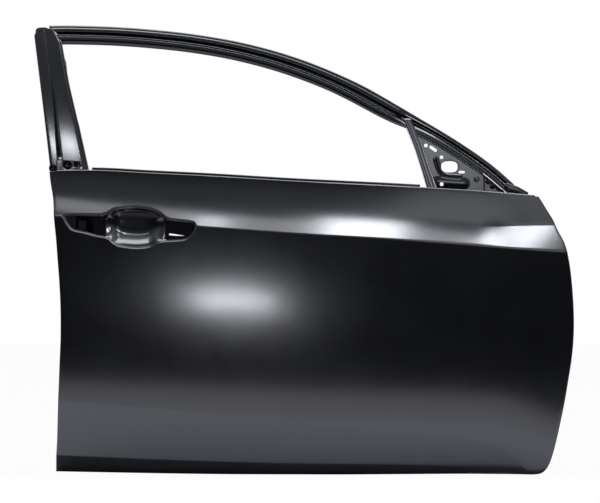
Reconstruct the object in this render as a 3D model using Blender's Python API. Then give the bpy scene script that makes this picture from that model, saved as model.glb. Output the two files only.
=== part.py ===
"""Front right-hand car door shell: pressed skin, inner panel, window frame and what they hold.

Metres, +Z up, +X towards the hinge edge, -Y outwards. The origin is the centre of the
lower hinge's face on the inner panel's front wall.
"""
import math

import bmesh
import bpy
import numpy as np

# The body of the door below its belt line
BODY_LENGTH = 1.100
BODY_HEIGHT = 0.645
SKIN_OVERHANG = 0.070
LOWER_HINGE_UP = 0.175
HINGE_SPACING = 0.285
LATCH_SETBACK = 0.038
LATCH_UP = 0.330

# How far the skin stands out at its lines, and how it curves
BELT_STAND = 0.040
SHOULDER_STAND = 0.070
SILL_STAND = 0.054
PLAN_CURVE_STAND = 0.030
PLAN_CENTRE_SHARE = 0.35
FLARE_SHARE = 0.20
BARREL_SHARE = 0.12
LOWER_TILT_SHARE = 0.16
UNDER_TILT_SHARE = 0.50

# Sheet metal and the fits between sheets
SKIN_SHEET = 0.0008
INNER_SHEET = 0.0009
FRAME_SHEET = 0.0011
PLATE_SHEET = 0.0016
WELD_GAP = 0.0003
FIT_GAP = 0.0006
HEM_GAP = 0.0010
HEM_WIDTH = 0.0085
OVERRUN = 0.0080
MERGE_WITHIN = 0.00001

# The inner panel's pressing
SEAL_STEP = 0.0120
SEAL_WIDTH = 0.0120
PAN_ROUND = 0.0080
INNER_FACE_IN = 0.075
INNER_BELT_IN = 0.022

# The glass surface that the window frame follows
FRAME_RISE = 0.330
GLASS_BELT_OUT = 0.0125
GLASS_LEAN_SHARE = 0.17
GLASS_RADIUS = 1.350

# The handle's recess in the skin
RECESS_LENGTH = 0.287
RECESS_ABOVE = 0.0351
RECESS_BELOW = 0.0583
RECESS_FROM_REAR_SHARE = 0.0097
LEDGE_WIDTH = 0.0055
LEDGE_DEPTH = 0.0050
LEDGE_ROLL = 0.0012
CUP_DEPTH = 0.0300
CUP_LEFT_SHARE = 0.340
CUP_RIGHT_SHARE = 0.735
CUP_BULGE = 0.0040
RECESS_MARGIN = 0.0158

# The skin's rolled edge along the belt
BELT_ROLL = 0.0025
BELT_RETURN = 0.0080
BELT_TURN_DOWN = 0.0120

# Holes and lines of the inner panel
INNER_BELOW_BELT = 0.010
FLANGE_CLEAR = 0.0035
INNER_COLUMNS = 12
RIM_WIDTH = 0.0050
RIM_DEPTH = 0.0035
HOLE_ROUND = 0.040
SPEAKER_RADIUS = 0.078
CLIP_HOLE_RADIUS = 0.0045
HINGE_BOLT_SPACING = 0.034
HINGE_HOLE_RADIUS = 0.0055
CHECK_SLOT_WIDTH = 0.024
CHECK_SLOT_HEIGHT = 0.036
LATCH_IN = 0.020
LATCH_SLOT_WIDTH = 0.036
LATCH_SLOT_HEIGHT = 0.072
SPEAKER_SHARES = (0.8494, 0.235)
SERVICE_HOLE_SHARES = ((0.1273, 0.250), (0.1107, 0.700), (0.2162, 0.740), (0.6272, 0.690),
                       (0.6717, 0.400), (0.5828, 0.250))
LATCH_HOLE_SHARES = ((0.0440, 0.760), (0.0496, 0.812), (0.2829, 0.800), (0.2940, 0.765))
CLIP_SHARES = ((0.0274, 0.100), (0.0218, 0.450), (0.0274, 0.780), (0.2940, 0.090), (0.5162, 0.770),
               (0.5828, 0.090), (0.7606, 0.600), (0.9050, 0.640), (0.9827, 0.350), (0.7383, 0.080))

# The window frame's pieces
FRAME_FACE_OUT = 0.010
HEADER_WIDTH = 0.036
HEADER_LIP = 0.016
HEADER_GROOVE = 0.012
HEADER_BOX = 0.012
HEADER_END_LEAN = 0.024
NEST_OVERLAP = 0.006
SASH_SIDE = 0.020
SASH_WIDTH = 0.060
SASH_GROOVE_WIDTH = 0.010
SASH_GROOVE_DEPTH = 0.004
DIVISION_SIDE = 0.015
RUN_WIDTH = 0.020
HEADER_STATIONS = 26
SASH_STATIONS = 12
HEADER_START_SHARE = -0.030
HEADER_END_SHARE = 0.884
HEADER_LEAN_SHARE = 0.12
SASH_TOP_SHARE = 0.915
SASH_TOP_SLANT_SHARE = 0.050
SASH_FOOT_SHARE = 0.004
SASH_TONGUE_SHARE = -0.28
HEADER_SHARES = ((-0.0315, 0.9870), (-0.0051, 0.9883), (0.0450, 0.9850), (0.0907, 0.9791), (0.1746, 0.9581),
                 (0.2684, 0.9200), (0.3574, 0.8632), (0.4461, 0.7795), (0.5217, 0.6829), (0.595, 0.5668),
                 (0.6631, 0.4337), (0.709, 0.3403), (0.7443, 0.2694), (0.779, 0.1961), (0.8498, 0.0250),
                 (0.8866, -0.0851))
HEADER_WIDTH_SHARES = ((-0.05, 1.0), (0.30, 1.0), (0.52, 1.04), (0.66, 1.0), (0.72, 0.68), (0.80, 0.64), (0.8866, 0.60))
REAR_SASH_LEFT_SHARES = ((-1.30, 0.010), (-0.40, -0.010), (0.0184, -0.0191), (0.0792, -0.0216), (0.3317, -0.0329),
                         (0.640, -0.0482), (0.9161, -0.0627), (1.0, -0.067))
REAR_SASH_RIGHT_SHARES = ((-1.30, 0.150), (-0.40, 0.0866), (-0.0011, 0.0577), (0.0348, 0.0551), (0.3317, 0.0331),
                          (0.5877, 0.0127), (0.862, -0.0102), (0.915, -0.0225), (0.970, -0.0380))
DIVISION_LEFT_SHARES = ((-1.30, 0.8176), (-0.0923, 0.7135), (0.0851, 0.6982), (0.2034, 0.6867), (0.2879, 0.6767),
                        (0.35, 0.669))
DIVISION_RIGHT_SHARES = ((-1.30, 0.8346), (-0.0923, 0.7305), (0.0851, 0.7130), (0.1862, 0.7037), (0.2462, 0.6974),
                         (0.2919, 0.6923), (0.35, 0.685))

# The mirror's plate and the frame's front tip
MIRROR_DEPTH = 0.004
MIRROR_HOLE_RADIUS = 0.0040
MIRROR_WIRE_WIDTH = 0.036
MIRROR_WIRE_HEIGHT = 0.024
MIRROR_TOP_SHARE = 0.2300
MIRROR_FOOT_SHARE = -0.150
MIRROR_FRONT_SHARE = (0.8251, -0.1500)
MIRROR_BOLT_SHARES = ((0.7130, 0.1810), (0.7432, 0.1035), (0.7426, -0.0728))
MIRROR_WIRE_SHARE = (0.7583, 0.0413)
TIP_SHARES = ((0.8880, -0.1600), (0.8880, -0.1235), (0.8900, -0.0950), (0.9095, -0.1274), (0.9095, -0.1650))

# Strengtheners inside the door
BELT_STRIP_UP = 0.0085
BELT_STRIP_DOWN = 0.030
BELT_BEAD = 0.0045
BELT_STRIP_SHARES = (0.064, 0.700)
BELT_INNER_SHARES = ((0.10, 0.0), (0.40, 0.0), (0.60, 1.0), (1.00, 1.0), (1.40, 1.0), (1.60, 0.0), (1.90, 0.0))
BEAM_RADIUS = 0.0125
BEAM_WALL = 0.0020
BEAM_CLEAR = 0.0030
BEAM_END_IN = 0.006
BEAM_REAR_SHARE = 0.500
BEAM_FOOT_HEIGHT = 0.080
BEAM_FOOT_REACH = 0.050
BEAM_FOOT_TAB = 0.020
BEAM_FOOT_CLEAR = 0.0045
HINGE_PLATE_HEIGHT = 0.090
HINGE_PLATE_WIDTH = 0.056
HINGE_PLATE_LEG = 0.018
HINGE_SHEET = 0.0025
NUT_RADIUS = 0.0075
NUT_DEPTH = 0.0065
NUT_BORE = 0.0040
LATCH_PLATE_HEIGHT = 0.110
LATCH_PLATE_WIDTH = 0.052
CHECK_PLATE_HEIGHT = 0.060
CHECK_PLATE_WIDTH = 0.044
PAD_LENGTH = 0.060
PAD_HEIGHT = 0.024
PAD_SHARES = (0.25, 0.50, 0.75)
STIFFENER_HEIGHT = 0.050
STIFFENER_BEAD = 0.0060
STIFFENER_SHARES = (0.300, 0.900, 0.660)
BRACKET_LAP = 0.0020
RECESS_POINTS = 40
BRACKET_RIM = 0.0100
BRACKET_SHARES = ((0.255, 0.10), (0.300, 1.10), (0.760, 1.10), (0.960, 0.60), (0.965, -0.62), (0.760, -0.85),
                  (0.640, -1.24), (0.420, -1.24), (0.330, -0.95), (0.215, -0.52))
WEDGE_SHARES = ((0.786, -0.330), (0.800, -0.325), (0.845, -0.345), (0.909, -0.375), (0.845, -0.395), (0.786, -0.395))
RUN_BRACKET_WIDTH = 0.030

# Outlines: along the body's length from its rear, and up the body's height
BELT_SHARES = ((-0.0190, 1.003), (0.025, 1.005), (0.074, 1.005), (0.178, 0.996), (0.274, 0.988),
               (0.452, 0.970), (0.660, 0.9525), (0.828, 0.9354), (0.930, 0.921), (1.02, 0.905))
UPPER_LINE_SHARES = ((-0.02, 0.938), (0.15, 0.918), (0.30, 0.900), (0.45, 0.884), (0.60, 0.858),
                     (0.7664, 0.8300), (0.8474, 0.8238), (0.8918, 0.8258), (0.9588, 0.830), (1.02, 0.832))
SHOULDER_SHARES = ((-0.02, 0.858), (0.0, 0.8553), (0.135, 0.8385), (0.2707, 0.8219), (0.4519, 0.800),
                   (0.6589, 0.7801), (0.7658, 0.767), (0.9001, 0.7487), (0.9728, 0.7402), (1.02, 0.735))
SILL_SHARES = ((-0.02, 0.2520), (0.0012, 0.2495), (0.1591, 0.2265), (0.3132, 0.2058), (0.4711, 0.1772),
               (0.6213, 0.1506), (0.7292, 0.1342), (0.7966, 0.1200), (0.8505, 0.0960), (0.8800, 0.0640),
               (0.9083, 0.0100), (0.950, -0.110), (1.02, -0.34))
ROCKER_SHARES = ((-0.02, 0.0665), (-0.0056, 0.0656), (0.1572, 0.0541), (0.3122, 0.0442), (0.4673, 0.0372),
                 (0.6611, 0.0332), (0.7444, 0.0286), (0.7987, 0.0220), (0.8394, 0.0060), (0.9083, -0.05),
                 (0.950, -0.180), (1.02, -0.42))
HEEL_SHARES = ((-0.02, 0.0093), (0.118, 0.006), (0.2733, 0.0027), (0.4673, 0.0013), (0.6613, 0.0033),
               (0.7600, 0.0046), (0.8000, 0.0050), (0.8400, -0.0150), (0.9083, -0.100), (1.02, -0.500))
BOTTOM_SHARES = ((-0.02, 0.0093), (0.118, 0.006), (0.2733, 0.0027), (0.4673, 0.0013), (0.6613, 0.0033),
                 (0.8000, 0.0050), (0.8600, 0.0050), (0.9400, 0.0050), (1.02, 0.0050))
REAR_EDGE_SHARES = ((-0.02, -0.0092), (0.0543, -0.0058), (0.12, -0.0029), (0.1858, -0.001), (0.2515, 0.0009),
                    (0.3172, 0.0029), (0.383, 0.0048), (0.4487, 0.0067), (0.5144, 0.0073), (0.5801, 0.0067),
                    (0.6459, 0.0048), (0.7116, 0.0019), (0.7773, -0.001), (0.8431, -0.0049),
                    (0.9088, -0.0087), (0.9745, -0.0160), (1.02, -0.0190))
FRONT_EDGE_SHARES = ((0.0050, 0.9180), (0.0065, 0.9260), (0.0110, 0.9340), (0.0220, 0.9415), (0.040, 0.9478),
                     (0.0720, 0.9545), (0.105, 0.9595), (0.170, 0.9680), (0.2355, 0.9758), (0.3181, 0.9839),
                     (0.4206, 0.9934), (0.4801, 0.9963), (0.5297, 0.9963), (0.5792, 0.9944),
                     (0.6453, 0.9905), (0.7114, 0.9847), (0.7775, 0.975), (0.804, 0.9673), (0.8436, 0.9576),
                     (0.8767, 0.9459), (0.9097, 0.9343), (0.950, 0.918))
RECESS_TOP_SHARES = ((0.0, 0.0), (0.008, 0.12), (0.031, 0.222), (0.100, 0.262), (0.253, 0.325), (0.318, 0.420),
                     (0.360, 0.640), (0.393, 0.798), (0.468, 0.926), (0.543, 1.0), (0.618, 0.977),
                     (0.674, 0.892), (0.723, 0.735), (0.755, 0.520), (0.787, 0.379), (0.843, 0.350),
                     (0.955, 0.339), (0.984, 0.235), (1.0, 0.0))
RECESS_BOTTOM_SHARES = ((0.0, 0.0), (0.014, 0.123), (0.039, 0.328), (0.077, 0.500), (0.165, 0.573),
                        (0.253, 0.655), (0.318, 0.690), (0.350, 0.745), (0.376, 0.863), (0.411, 0.952),
                        (0.468, 0.990), (0.554, 1.000), (0.630, 0.940), (0.670, 0.868), (0.704, 0.765),
                        (0.745, 0.690), (0.843, 0.628), (0.910, 0.561), (0.958, 0.405), (0.988, 0.180),
                        (1.0, 0.0))

# Where the skin's net of lines runs
REAR_COLUMNS = 15
FRONT_COLUMNS = 19
HOLE_START_SHARE = 0.0075
HEM_ANGLES = (60, 120, 180)
UPRIGHT_SHARE = 0.12
BELT_BAND_SHARES = (0.0, 0.5)
UPPER_BAND_SHARES = (0.0, 0.5)
BARREL_BAND_SHARES = (0.0, 0.09, 0.18, 0.30, 0.43, 0.57, 0.71, 0.86)
SILL_BAND_SHARES = (0.0, 0.33, 0.67)
ROCKER_BAND_SHARES = (0.0, 0.5)
BOTTOM_END_SHARE = 0.800

REAR = SKIN_OVERHANG - BODY_LENGTH
BOTTOM = -LOWER_HINGE_UP
TOP = BOTTOM + BODY_HEIGHT


# Curves and surfaces

def spline(table, at):
    """Value at each place in at of a smooth curve through a table of (place, value) pairs."""
    knots, values = np.array(table, dtype=float).T
    slopes = np.gradient(values, knots)
    at = np.clip(np.asarray(at, dtype=float), knots[0], knots[-1])
    left = np.clip(np.searchsorted(knots, at, side="right") - 1, 0, len(knots) - 2)
    span = knots[left + 1] - knots[left]
    q = (at - knots[left]) / span
    start = values[left] * (1 + 2 * q) * (1 - q) ** 2 + slopes[left] * span * q * (1 - q) ** 2
    end = values[left + 1] * q * q * (3 - 2 * q) + slopes[left + 1] * span * q * q * (q - 1)
    return start + end


def line_height(table, x):
    """Height of one of the skin's lengthwise lines at each x."""
    return BOTTOM + BODY_HEIGHT * spline(table, (np.asarray(x) - REAR) / BODY_LENGTH)


def rear_edge(z):
    return REAR + BODY_LENGTH * spline(REAR_EDGE_SHARES, (np.asarray(z) - BOTTOM) / BODY_HEIGHT)


def front_edge(z):
    return REAR + BODY_LENGTH * spline(FRONT_EDGE_SHARES, (np.asarray(z) - BOTTOM) / BODY_HEIGHT)


def plan_y(x):
    """The door's bow in plan, from front to rear."""
    along = (np.asarray(x, dtype=float) - REAR) / BODY_LENGTH - PLAN_CENTRE_SHARE
    return PLAN_CURVE_STAND * along * along


def fade_in(x, start_share, end_share):
    """Smooth step from 0 to 1 between two shares of the body's length."""
    q = np.clip(((np.asarray(x) - REAR) / BODY_LENGTH - start_share) / (end_share - start_share), 0, 1)
    return q * q * (3 - 2 * q)


def skin_y(x, z):
    """Outer face of the skin: flared above the shoulder, barrelled below it, tucked under at the sill."""
    x, z = np.broadcast_arrays(np.asarray(x, dtype=float), np.asarray(z, dtype=float))
    belt = line_height(BELT_SHARES, x)
    upper = line_height(UPPER_LINE_SHARES, x)
    shoulder = line_height(SHOULDER_SHARES, x)
    sill = line_height(SILL_SHARES, x)
    rocker = line_height(ROCKER_SHARES, x)
    rise = SHOULDER_STAND - BELT_STAND
    q = np.clip((z - shoulder) / (belt - shoulder), 0, 1.2)
    swept = SHOULDER_STAND - rise * q - FLARE_SHARE * rise * 4 * q * (1 - q)
    upper_share = (upper - shoulder) / (belt - shoulder)
    folded_stand = BELT_STAND + FLARE_SHARE * rise
    folded = np.where(q < upper_share,
                      SHOULDER_STAND + (folded_stand - SHOULDER_STAND) * q / upper_share,
                      folded_stand + (BELT_STAND - folded_stand) * (q - upper_share) / (1 - upper_share))
    fade = fade_in(x, PLAN_CENTRE_SHARE + FLARE_SHARE, 1 - FLARE_SHARE)
    above = (1 - fade) * swept + fade * folded
    p = np.clip((shoulder - z) / (shoulder - sill), 0, 1)
    fall = SHOULDER_STAND - SILL_STAND
    barrel = SHOULDER_STAND - fall * p * p + BARREL_SHARE * fall * 4 * p * (1 - p)
    tilt = LOWER_TILT_SHARE * np.clip(sill - z, 0, None)
    under = (UNDER_TILT_SHARE - LOWER_TILT_SHARE) * np.clip(rocker - z, 0, None)
    stand = np.where(z >= shoulder, above, barrel - tilt - under)
    return plan_y(x) - stand


def glass_y(x, z):
    """The window's cylinder, which leans inwards above the belt and bows in plan like the skin."""
    h = np.asarray(z, dtype=float) - TOP
    return plan_y(x) + GLASS_LEAN_SHARE * h + h * h / (2 * GLASS_RADIUS) - GLASS_BELT_OUT


def glass_normal(z):
    """Unit vectors that point inwards from the window's cylinder, as y and z parts."""
    slope = GLASS_LEAN_SHARE + (np.asarray(z, dtype=float) - TOP) / GLASS_RADIUS
    size = np.sqrt(1 + slope * slope)
    return 1 / size, -slope / size


# The skin's net: rows follow the pressed lines, columns run from the rear edge to the front

def hole_end_share():
    """Where the net's hole for the recess ends, as a share of the body's length."""
    return RECESS_FROM_REAR_SHARE + (RECESS_LENGTH + RECESS_MARGIN) / BODY_LENGTH


def column_shares():
    """Columns as shares of a row: the rear edge, the recess's stretch and the rest."""
    rear = np.linspace(HOLE_START_SHARE, hole_end_share(), REAR_COLUMNS)
    front = np.linspace(hole_end_share(), 1, FRONT_COLUMNS + 1)[1:]
    return np.concatenate(([0.0], rear, front))


def row_lines():
    """Every row as a blend of two neighbouring lines: (upper table, lower table, blend)."""
    bands = ((BELT_SHARES, UPPER_LINE_SHARES, BELT_BAND_SHARES),
             (UPPER_LINE_SHARES, SHOULDER_SHARES, UPPER_BAND_SHARES),
             (SHOULDER_SHARES, SILL_SHARES, BARREL_BAND_SHARES),
             (SILL_SHARES, ROCKER_SHARES, SILL_BAND_SHARES),
             (ROCKER_SHARES, HEEL_SHARES, ROCKER_BAND_SHARES))
    rows = [(top, low, blend) for top, low, blends in bands for blend in blends]
    return rows + [(BOTTOM_SHARES, BOTTOM_SHARES, 0.0)]


def row_height(row, x):
    top, low, blend = row
    return (1 - blend) * line_height(top, x) + blend * line_height(low, x)


def row_start(row):
    x = REAR
    for _ in range(12):
        x = float(rear_edge(row_height(row, x)))
    return x


def row_end(row):
    """Where a row leaves the outline, at the front edge or at the bottom edge."""
    if row[0] is BOTTOM_SHARES:
        return REAR + BOTTOM_END_SHARE * BODY_LENGTH
    low, high = REAR + BODY_LENGTH / 2, REAR + BODY_LENGTH
    for _ in range(40):
        middle = (low + high) / 2
        z = float(row_height(row, middle))
        inside = z > float(line_height(BOTTOM_SHARES, middle)) and middle < float(front_edge(z))
        low, high = (middle, high) if inside else (low, middle)
    return low


def border_loop():
    """The outline from the rear of the belt, down, forwards and up, with a point where each line ends."""
    rows = row_lines()
    rear_x = np.array([row_start(row) for row in rows])
    front_x = np.array([row_end(row) for row in rows])
    past_rim = rear_x[-1] + rim_distance() + FLANGE_CLEAR
    bottom_x = past_rim + (front_x[-1] - past_rim) * column_shares()
    bottom_x[0] = rear_x[-1]
    rear_z = np.array([float(row_height(row, x)) for row, x in zip(rows, rear_x)])
    front_z = np.array([float(row_height(row, x)) for row, x in zip(rows, front_x)])
    bottom_z = line_height(BOTTOM_SHARES, bottom_x)
    x = np.concatenate((rear_x, bottom_x[1:], front_x[-2::-1]))
    z = np.concatenate((rear_z, bottom_z[1:], front_z[-2::-1]))
    return np.stack((x, z), 1)


def rim_distance():
    """From the outline to the inner end of the flange that the hem clasps."""
    return hem_radius() + HEM_WIDTH + FLANGE_CLEAR


def way_into(border):
    """Square to the outline, but level along its upright edges, so that points stay on their own lines."""
    way = inward(border, closed=False)
    upright = border[:, 1] > BOTTOM + UPRIGHT_SHARE * BODY_HEIGHT
    level = np.stack(((way * way).sum(1) / way[:, 0], 0 * way[:, 0]), 1)
    return np.where(upright[:, None], level, way)


def on_rim(border, distance, depth=0.0):
    """Points of the flat rim behind the skin's outer face, at a distance in from the outline."""
    way_in = way_into(border)
    share = (distance - hem_radius()) / (rim_distance() - hem_radius())
    first, last = (on_skin(border + reach * way_in) for reach in (hem_radius(), rim_distance()))
    return first + (last - first) * share + np.array((0.0, depth, 0.0))


def skin_net(border):
    """Places of the net's crossings inside the hem's bend, as x and z arrays of rows by columns."""
    rows = row_lines()
    count = len(rows)
    ring = border + hem_radius() * way_into(border)
    rear, front = ring[:count], ring[::-1][:count]
    x = rear[:, :1] + (front - rear)[:, :1] * column_shares()[None, :]
    z = np.array([row_height(row, x[i]) for i, row in enumerate(rows)])
    x[:, 0], z[:, 0] = rear.T
    x[:, -1], z[:, -1] = front.T
    x[-1], z[-1] = ring[count - 1:len(ring) - count + 1].T
    return x, z


def inward(points, closed):
    """Unit normals on the left of each point of a path, lengthened at its corners to keep a width."""
    if closed:
        before = points - np.roll(points, 1, axis=0)
        after = np.roll(points, -1, axis=0) - points
    else:
        steps = np.diff(points, axis=0)
        before = np.concatenate((steps[:1], steps))
        after = np.concatenate((steps, steps[-1:]))
    before = before / np.linalg.norm(before, axis=1, keepdims=True)
    after = after / np.linalg.norm(after, axis=1, keepdims=True)
    turned = before + after
    turned = turned / np.linalg.norm(turned, axis=1, keepdims=True)
    reach = 1 / np.maximum((turned * after).sum(1), 0.5)
    return np.stack((-turned[:, 1], turned[:, 0]), 1) * reach[:, None]


def hem_radius():
    return (INNER_SHEET + 2 * HEM_GAP) / 2 + SKIN_SHEET


# Meshes

def new_material(name, colour, roughness, metallic):
    material = bpy.data.materials.new(name)
    material.use_nodes = True
    shader = material.node_tree.nodes["Principled BSDF"]
    shader.inputs["Base Color"].default_value = (*colour, 1)
    shader.inputs["Roughness"].default_value = roughness
    shader.inputs["Metallic"].default_value = metallic
    material.diffuse_color = (*colour, 1)
    return material


def primer(name):
    """Black electro-coat primer over pressed steel."""
    return new_material(name + "_primer", (0.012, 0.013, 0.016), 0.32, 0.0)


def plating(name):
    """Dull zinc on a nut."""
    return new_material(name + "_zinc", (0.30, 0.30, 0.29), 0.40, 1.0)


def add_object(name, bm, material):
    mesh = bpy.data.meshes.new(name)
    bm.to_mesh(mesh)
    bm.free()
    mesh.materials.append(material)
    mesh.shade_smooth()
    mesh.set_sharp_from_angle(angle=math.radians(30))
    thing = bpy.data.objects.new(name, mesh)
    bpy.context.collection.objects.link(thing)
    return thing


def thicken(thing, thickness, offset=-1.0):
    """Give a sheet its wall, on the back of its faces."""
    wall = thing.modifiers.new("wall", "SOLIDIFY")
    wall.thickness = thickness
    wall.offset = offset
    wall.use_even_offset = True
    return thing


class Sheet:
    """A surface under construction: grids and loops of points joined with quads."""

    def __init__(self):
        self.bm = bmesh.new()
        self.known = {}

    def vertex(self, place):
        """The vertex at a place; points that fall together share one."""
        key = tuple(round(float(value) / MERGE_WITHIN) for value in place)
        if key not in self.known:
            self.known[key] = self.bm.verts.new(tuple(place))
        return self.known[key]

    def points(self, coordinates):
        """Vertices in the shape of an array whose last axis is x, y, z."""
        coordinates = np.asarray(coordinates, dtype=float)
        flat = np.empty(coordinates.size // 3, dtype=object)
        for number, place in enumerate(coordinates.reshape(-1, 3)):
            flat[number] = self.vertex(place)
        return flat.reshape(coordinates.shape[:-1])

    def grid(self, verts, closed=False):
        rows, columns = verts.shape
        for i in range(rows - 1):
            for j in range(columns if closed else columns - 1):
                k = (j + 1) % columns
                self.face((verts[i, j], verts[i + 1, j], verts[i + 1, k], verts[i, k]))

    def face(self, corners):
        """A face through the corners that differ."""
        corners = list(dict.fromkeys(corners))
        if len(corners) > 2:
            self.bm.faces.new(corners)

    def finish(self, name, material, towards=None):
        """Make the object, with its faces turned towards the side that a vector points to."""
        unused = [vert for vert in self.bm.verts if not vert.link_faces]
        bmesh.ops.delete(self.bm, geom=unused, context="VERTS")
        if towards is not None:
            bmesh.ops.recalc_face_normals(self.bm, faces=self.bm.faces[:])
            self.bm.normal_update()
            facing = sum((face.normal * face.calc_area() for face in self.bm.faces),
                         start=self.bm.faces[:][0].normal * 0)
            if facing.dot(towards) < 0:
                bmesh.ops.reverse_faces(self.bm, faces=self.bm.faces[:])
        return add_object(name, self.bm, material)


def on_skin(places, depth=0.0):
    """Points on the skin's outer face, or behind it by a depth, from x and z pairs."""
    places = np.asarray(places, dtype=float)
    x, z = places[..., 0], places[..., 1]
    return np.stack((x, skin_y(x, z) + depth, z), -1)


# The handle's recess

def resample(points, count):
    """Evenly spaced points along a path."""
    lengths = np.concatenate(([0], np.cumsum(np.linalg.norm(np.diff(points, axis=0), axis=1))))
    at = np.linspace(0, lengths[-1], count)
    return np.stack((np.interp(at, lengths, points[:, 0]), np.interp(at, lengths, points[:, 1])), 1)


def recess_start():
    return REAR + RECESS_FROM_REAR_SHARE * BODY_LENGTH


def recess_half(table, reach, count):
    """One side of the recess's outline, from its rear tip to its front tip on the shoulder line."""
    shares = np.array(table)
    steps = np.linspace(0, len(table) - 1, 12 * len(table))
    knots = np.arange(len(table))
    along = spline(np.stack((knots, shares[:, 0]), 1), steps)
    across = spline(np.stack((knots, shares[:, 1]), 1), steps)
    x = recess_start() + RECESS_LENGTH * along
    z = line_height(SHOULDER_SHARES, x) + reach * across
    return resample(np.stack((x, z), 1), count)


def recess_outline(top_count, low_count):
    """The whole outline, forwards along its top and back along its bottom, and the way in from it."""
    top_half = recess_half(RECESS_TOP_SHARES, RECESS_ABOVE, top_count + 1)
    low_half = recess_half(RECESS_BOTTOM_SHARES, -RECESS_BELOW, low_count + 1)
    outline = np.concatenate((top_half[:-1], low_half[:0:-1]))
    return outline, -inward(outline, closed=True)


def cup_ends():
    start = recess_start()
    return start + CUP_LEFT_SHARE * RECESS_LENGTH, start + CUP_RIGHT_SHARE * RECESS_LENGTH


def build_recess(sheet, x, z, net, shoulder_row, top_row, low_row, first, last):
    """The handle's recess, set into the hole of the net: a patch, a rolled ledge and the finger cup."""
    top_path = ([(i, first) for i in range(shoulder_row, top_row, -1)]
                + [(top_row, j) for j in range(first, last)]
                + [(i, last) for i in range(top_row, shoulder_row)])
    low_path = ([(shoulder_row, last)] + [(i, last) for i in range(shoulder_row + 1, low_row)]
                + [(low_row, j) for j in range(last, first, -1)]
                + [(i, first) for i in range(low_row, shoulder_row, -1)])
    border = top_path + low_path
    frame_xz = np.array([(x[i, j], z[i, j]) for i, j in border])
    outline, way_in = recess_outline(len(top_path), len(low_path))
    halfway = (frame_xz + outline) / 2
    rings = [on_skin(halfway), on_skin(outline)]
    rim_y = skin_y(outline[:, 0], outline[:, 1])
    ledge = ((LEDGE_ROLL, LEDGE_ROLL), (2 * LEDGE_ROLL, LEDGE_DEPTH - LEDGE_ROLL), (LEDGE_WIDTH, LEDGE_DEPTH))
    for width, depth in ledge:
        place = outline + width * way_in
        rings.append(np.stack((place[:, 0], rim_y + depth, place[:, 1]), 1))
    verts = [sheet.points(ring) for ring in rings]
    frame_verts = np.array([net[i, j] for i, j in border], dtype=object)
    sheet.grid(np.array([frame_verts] + verts, dtype=object), closed=True)
    build_cup(sheet, rings[-1], verts[-1], len(top_path))


def nearest(places, x):
    return int(np.argmin(np.abs(places - x)))


def build_cup(sheet, rim, rim_verts, split):
    """A bowl between the ledge's two long sides, open to the handle's holes at each end."""
    left, right = cup_ends()
    top_left, top_right = nearest(rim[:split, 0], left), nearest(rim[:split, 0], right)
    low_right = split + nearest(rim[split:, 0], right)
    low_left = split + nearest(rim[split:, 0], left)
    arc_steps = 5
    arcs = []
    for start, end, side in ((top_right, low_right, 1), (low_left, top_left, -1)):
        q = np.linspace(0, 1, arc_steps + 1)[1:-1, None]
        arc = rim[start] + (rim[end] - rim[start]) * q
        arc[:, 0] += side * CUP_BULGE * 4 * (q * (1 - q))[:, 0]
        arc[:, 1] += LEDGE_DEPTH * 4 * (q * (1 - q))[:, 0]
        arcs.append((arc, sheet.points(arc)))
    loop = np.concatenate((rim[top_left:top_right + 1], arcs[0][0], rim[low_right:low_left + 1], arcs[1][0]))
    loop_verts = np.concatenate((rim_verts[top_left:top_right + 1], arcs[0][1],
                                 rim_verts[low_right:low_left + 1], arcs[1][1]))
    centre = loop.mean(axis=0)
    rings = [loop_verts]
    for share in (0.90, 0.76, 0.58, 0.36):
        ring = centre + (loop - centre) * share
        level = loop[:, 1] * share + centre[1] * (1 - share)
        ring[:, 1] = level + CUP_DEPTH * (1 - share ** 2.4) ** 0.8
        rings.append(sheet.points(ring))
    sheet.grid(np.array(rings, dtype=object), closed=True)
    floor = sheet.points((centre[0], centre[1] + CUP_DEPTH, centre[2])).reshape(-1)[0]
    count = len(loop)
    for j in range(count):
        sheet.face((rings[-1][j], floor, rings[-1][(j + 1) % count]))


# Large pressings

def outer_panel():
    border = border_loop()
    x, z = skin_net(border)
    rows, columns = x.shape
    sheet = Sheet()
    net = sheet.points(on_skin(np.stack((x, z), -1)))
    top_row = len(BELT_BAND_SHARES)
    shoulder_row = top_row + len(UPPER_BAND_SHARES)
    low_row = shoulder_row + 2
    last = REAR_COLUMNS
    for i in range(rows - 1):
        for j in range(columns - 1):
            if not (top_row <= i < low_row and 1 <= j < last):
                sheet.face((net[i, j], net[i + 1, j], net[i + 1, j + 1], net[i, j + 1]))
    build_recess(sheet, x, z, net, shoulder_row, top_row, low_row, 1, last)
    add_hem(sheet, net, border)
    add_belt_edge(sheet, net, x, z)
    skin = sheet.finish("outer_panel", primer("outer_panel"), towards=(0, -1, 0))
    return thicken(skin, SKIN_SHEET)


def add_hem(sheet, net, border):
    """Half a turn round the inner panel's flange, and the flat return."""
    radius = hem_radius()
    way_in = way_into(border)
    face = on_rim(border, radius)
    rings = [np.concatenate((net[:, 0], net[-1, 1:], net[-2::-1, -1]))]
    for angle in HEM_ANGLES:
        turn = math.radians(angle)
        place = face[:, ::2] - radius * math.sin(turn) * way_in
        depth = radius * (1 - math.cos(turn))
        rings.append(sheet.points(np.stack((place[:, 0], face[:, 1] + depth, place[:, 1]), 1)))
    rings.append(sheet.points(on_rim(border, radius + HEM_WIDTH, 2 * radius)))
    sheet.grid(np.array(rings, dtype=object))


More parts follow.
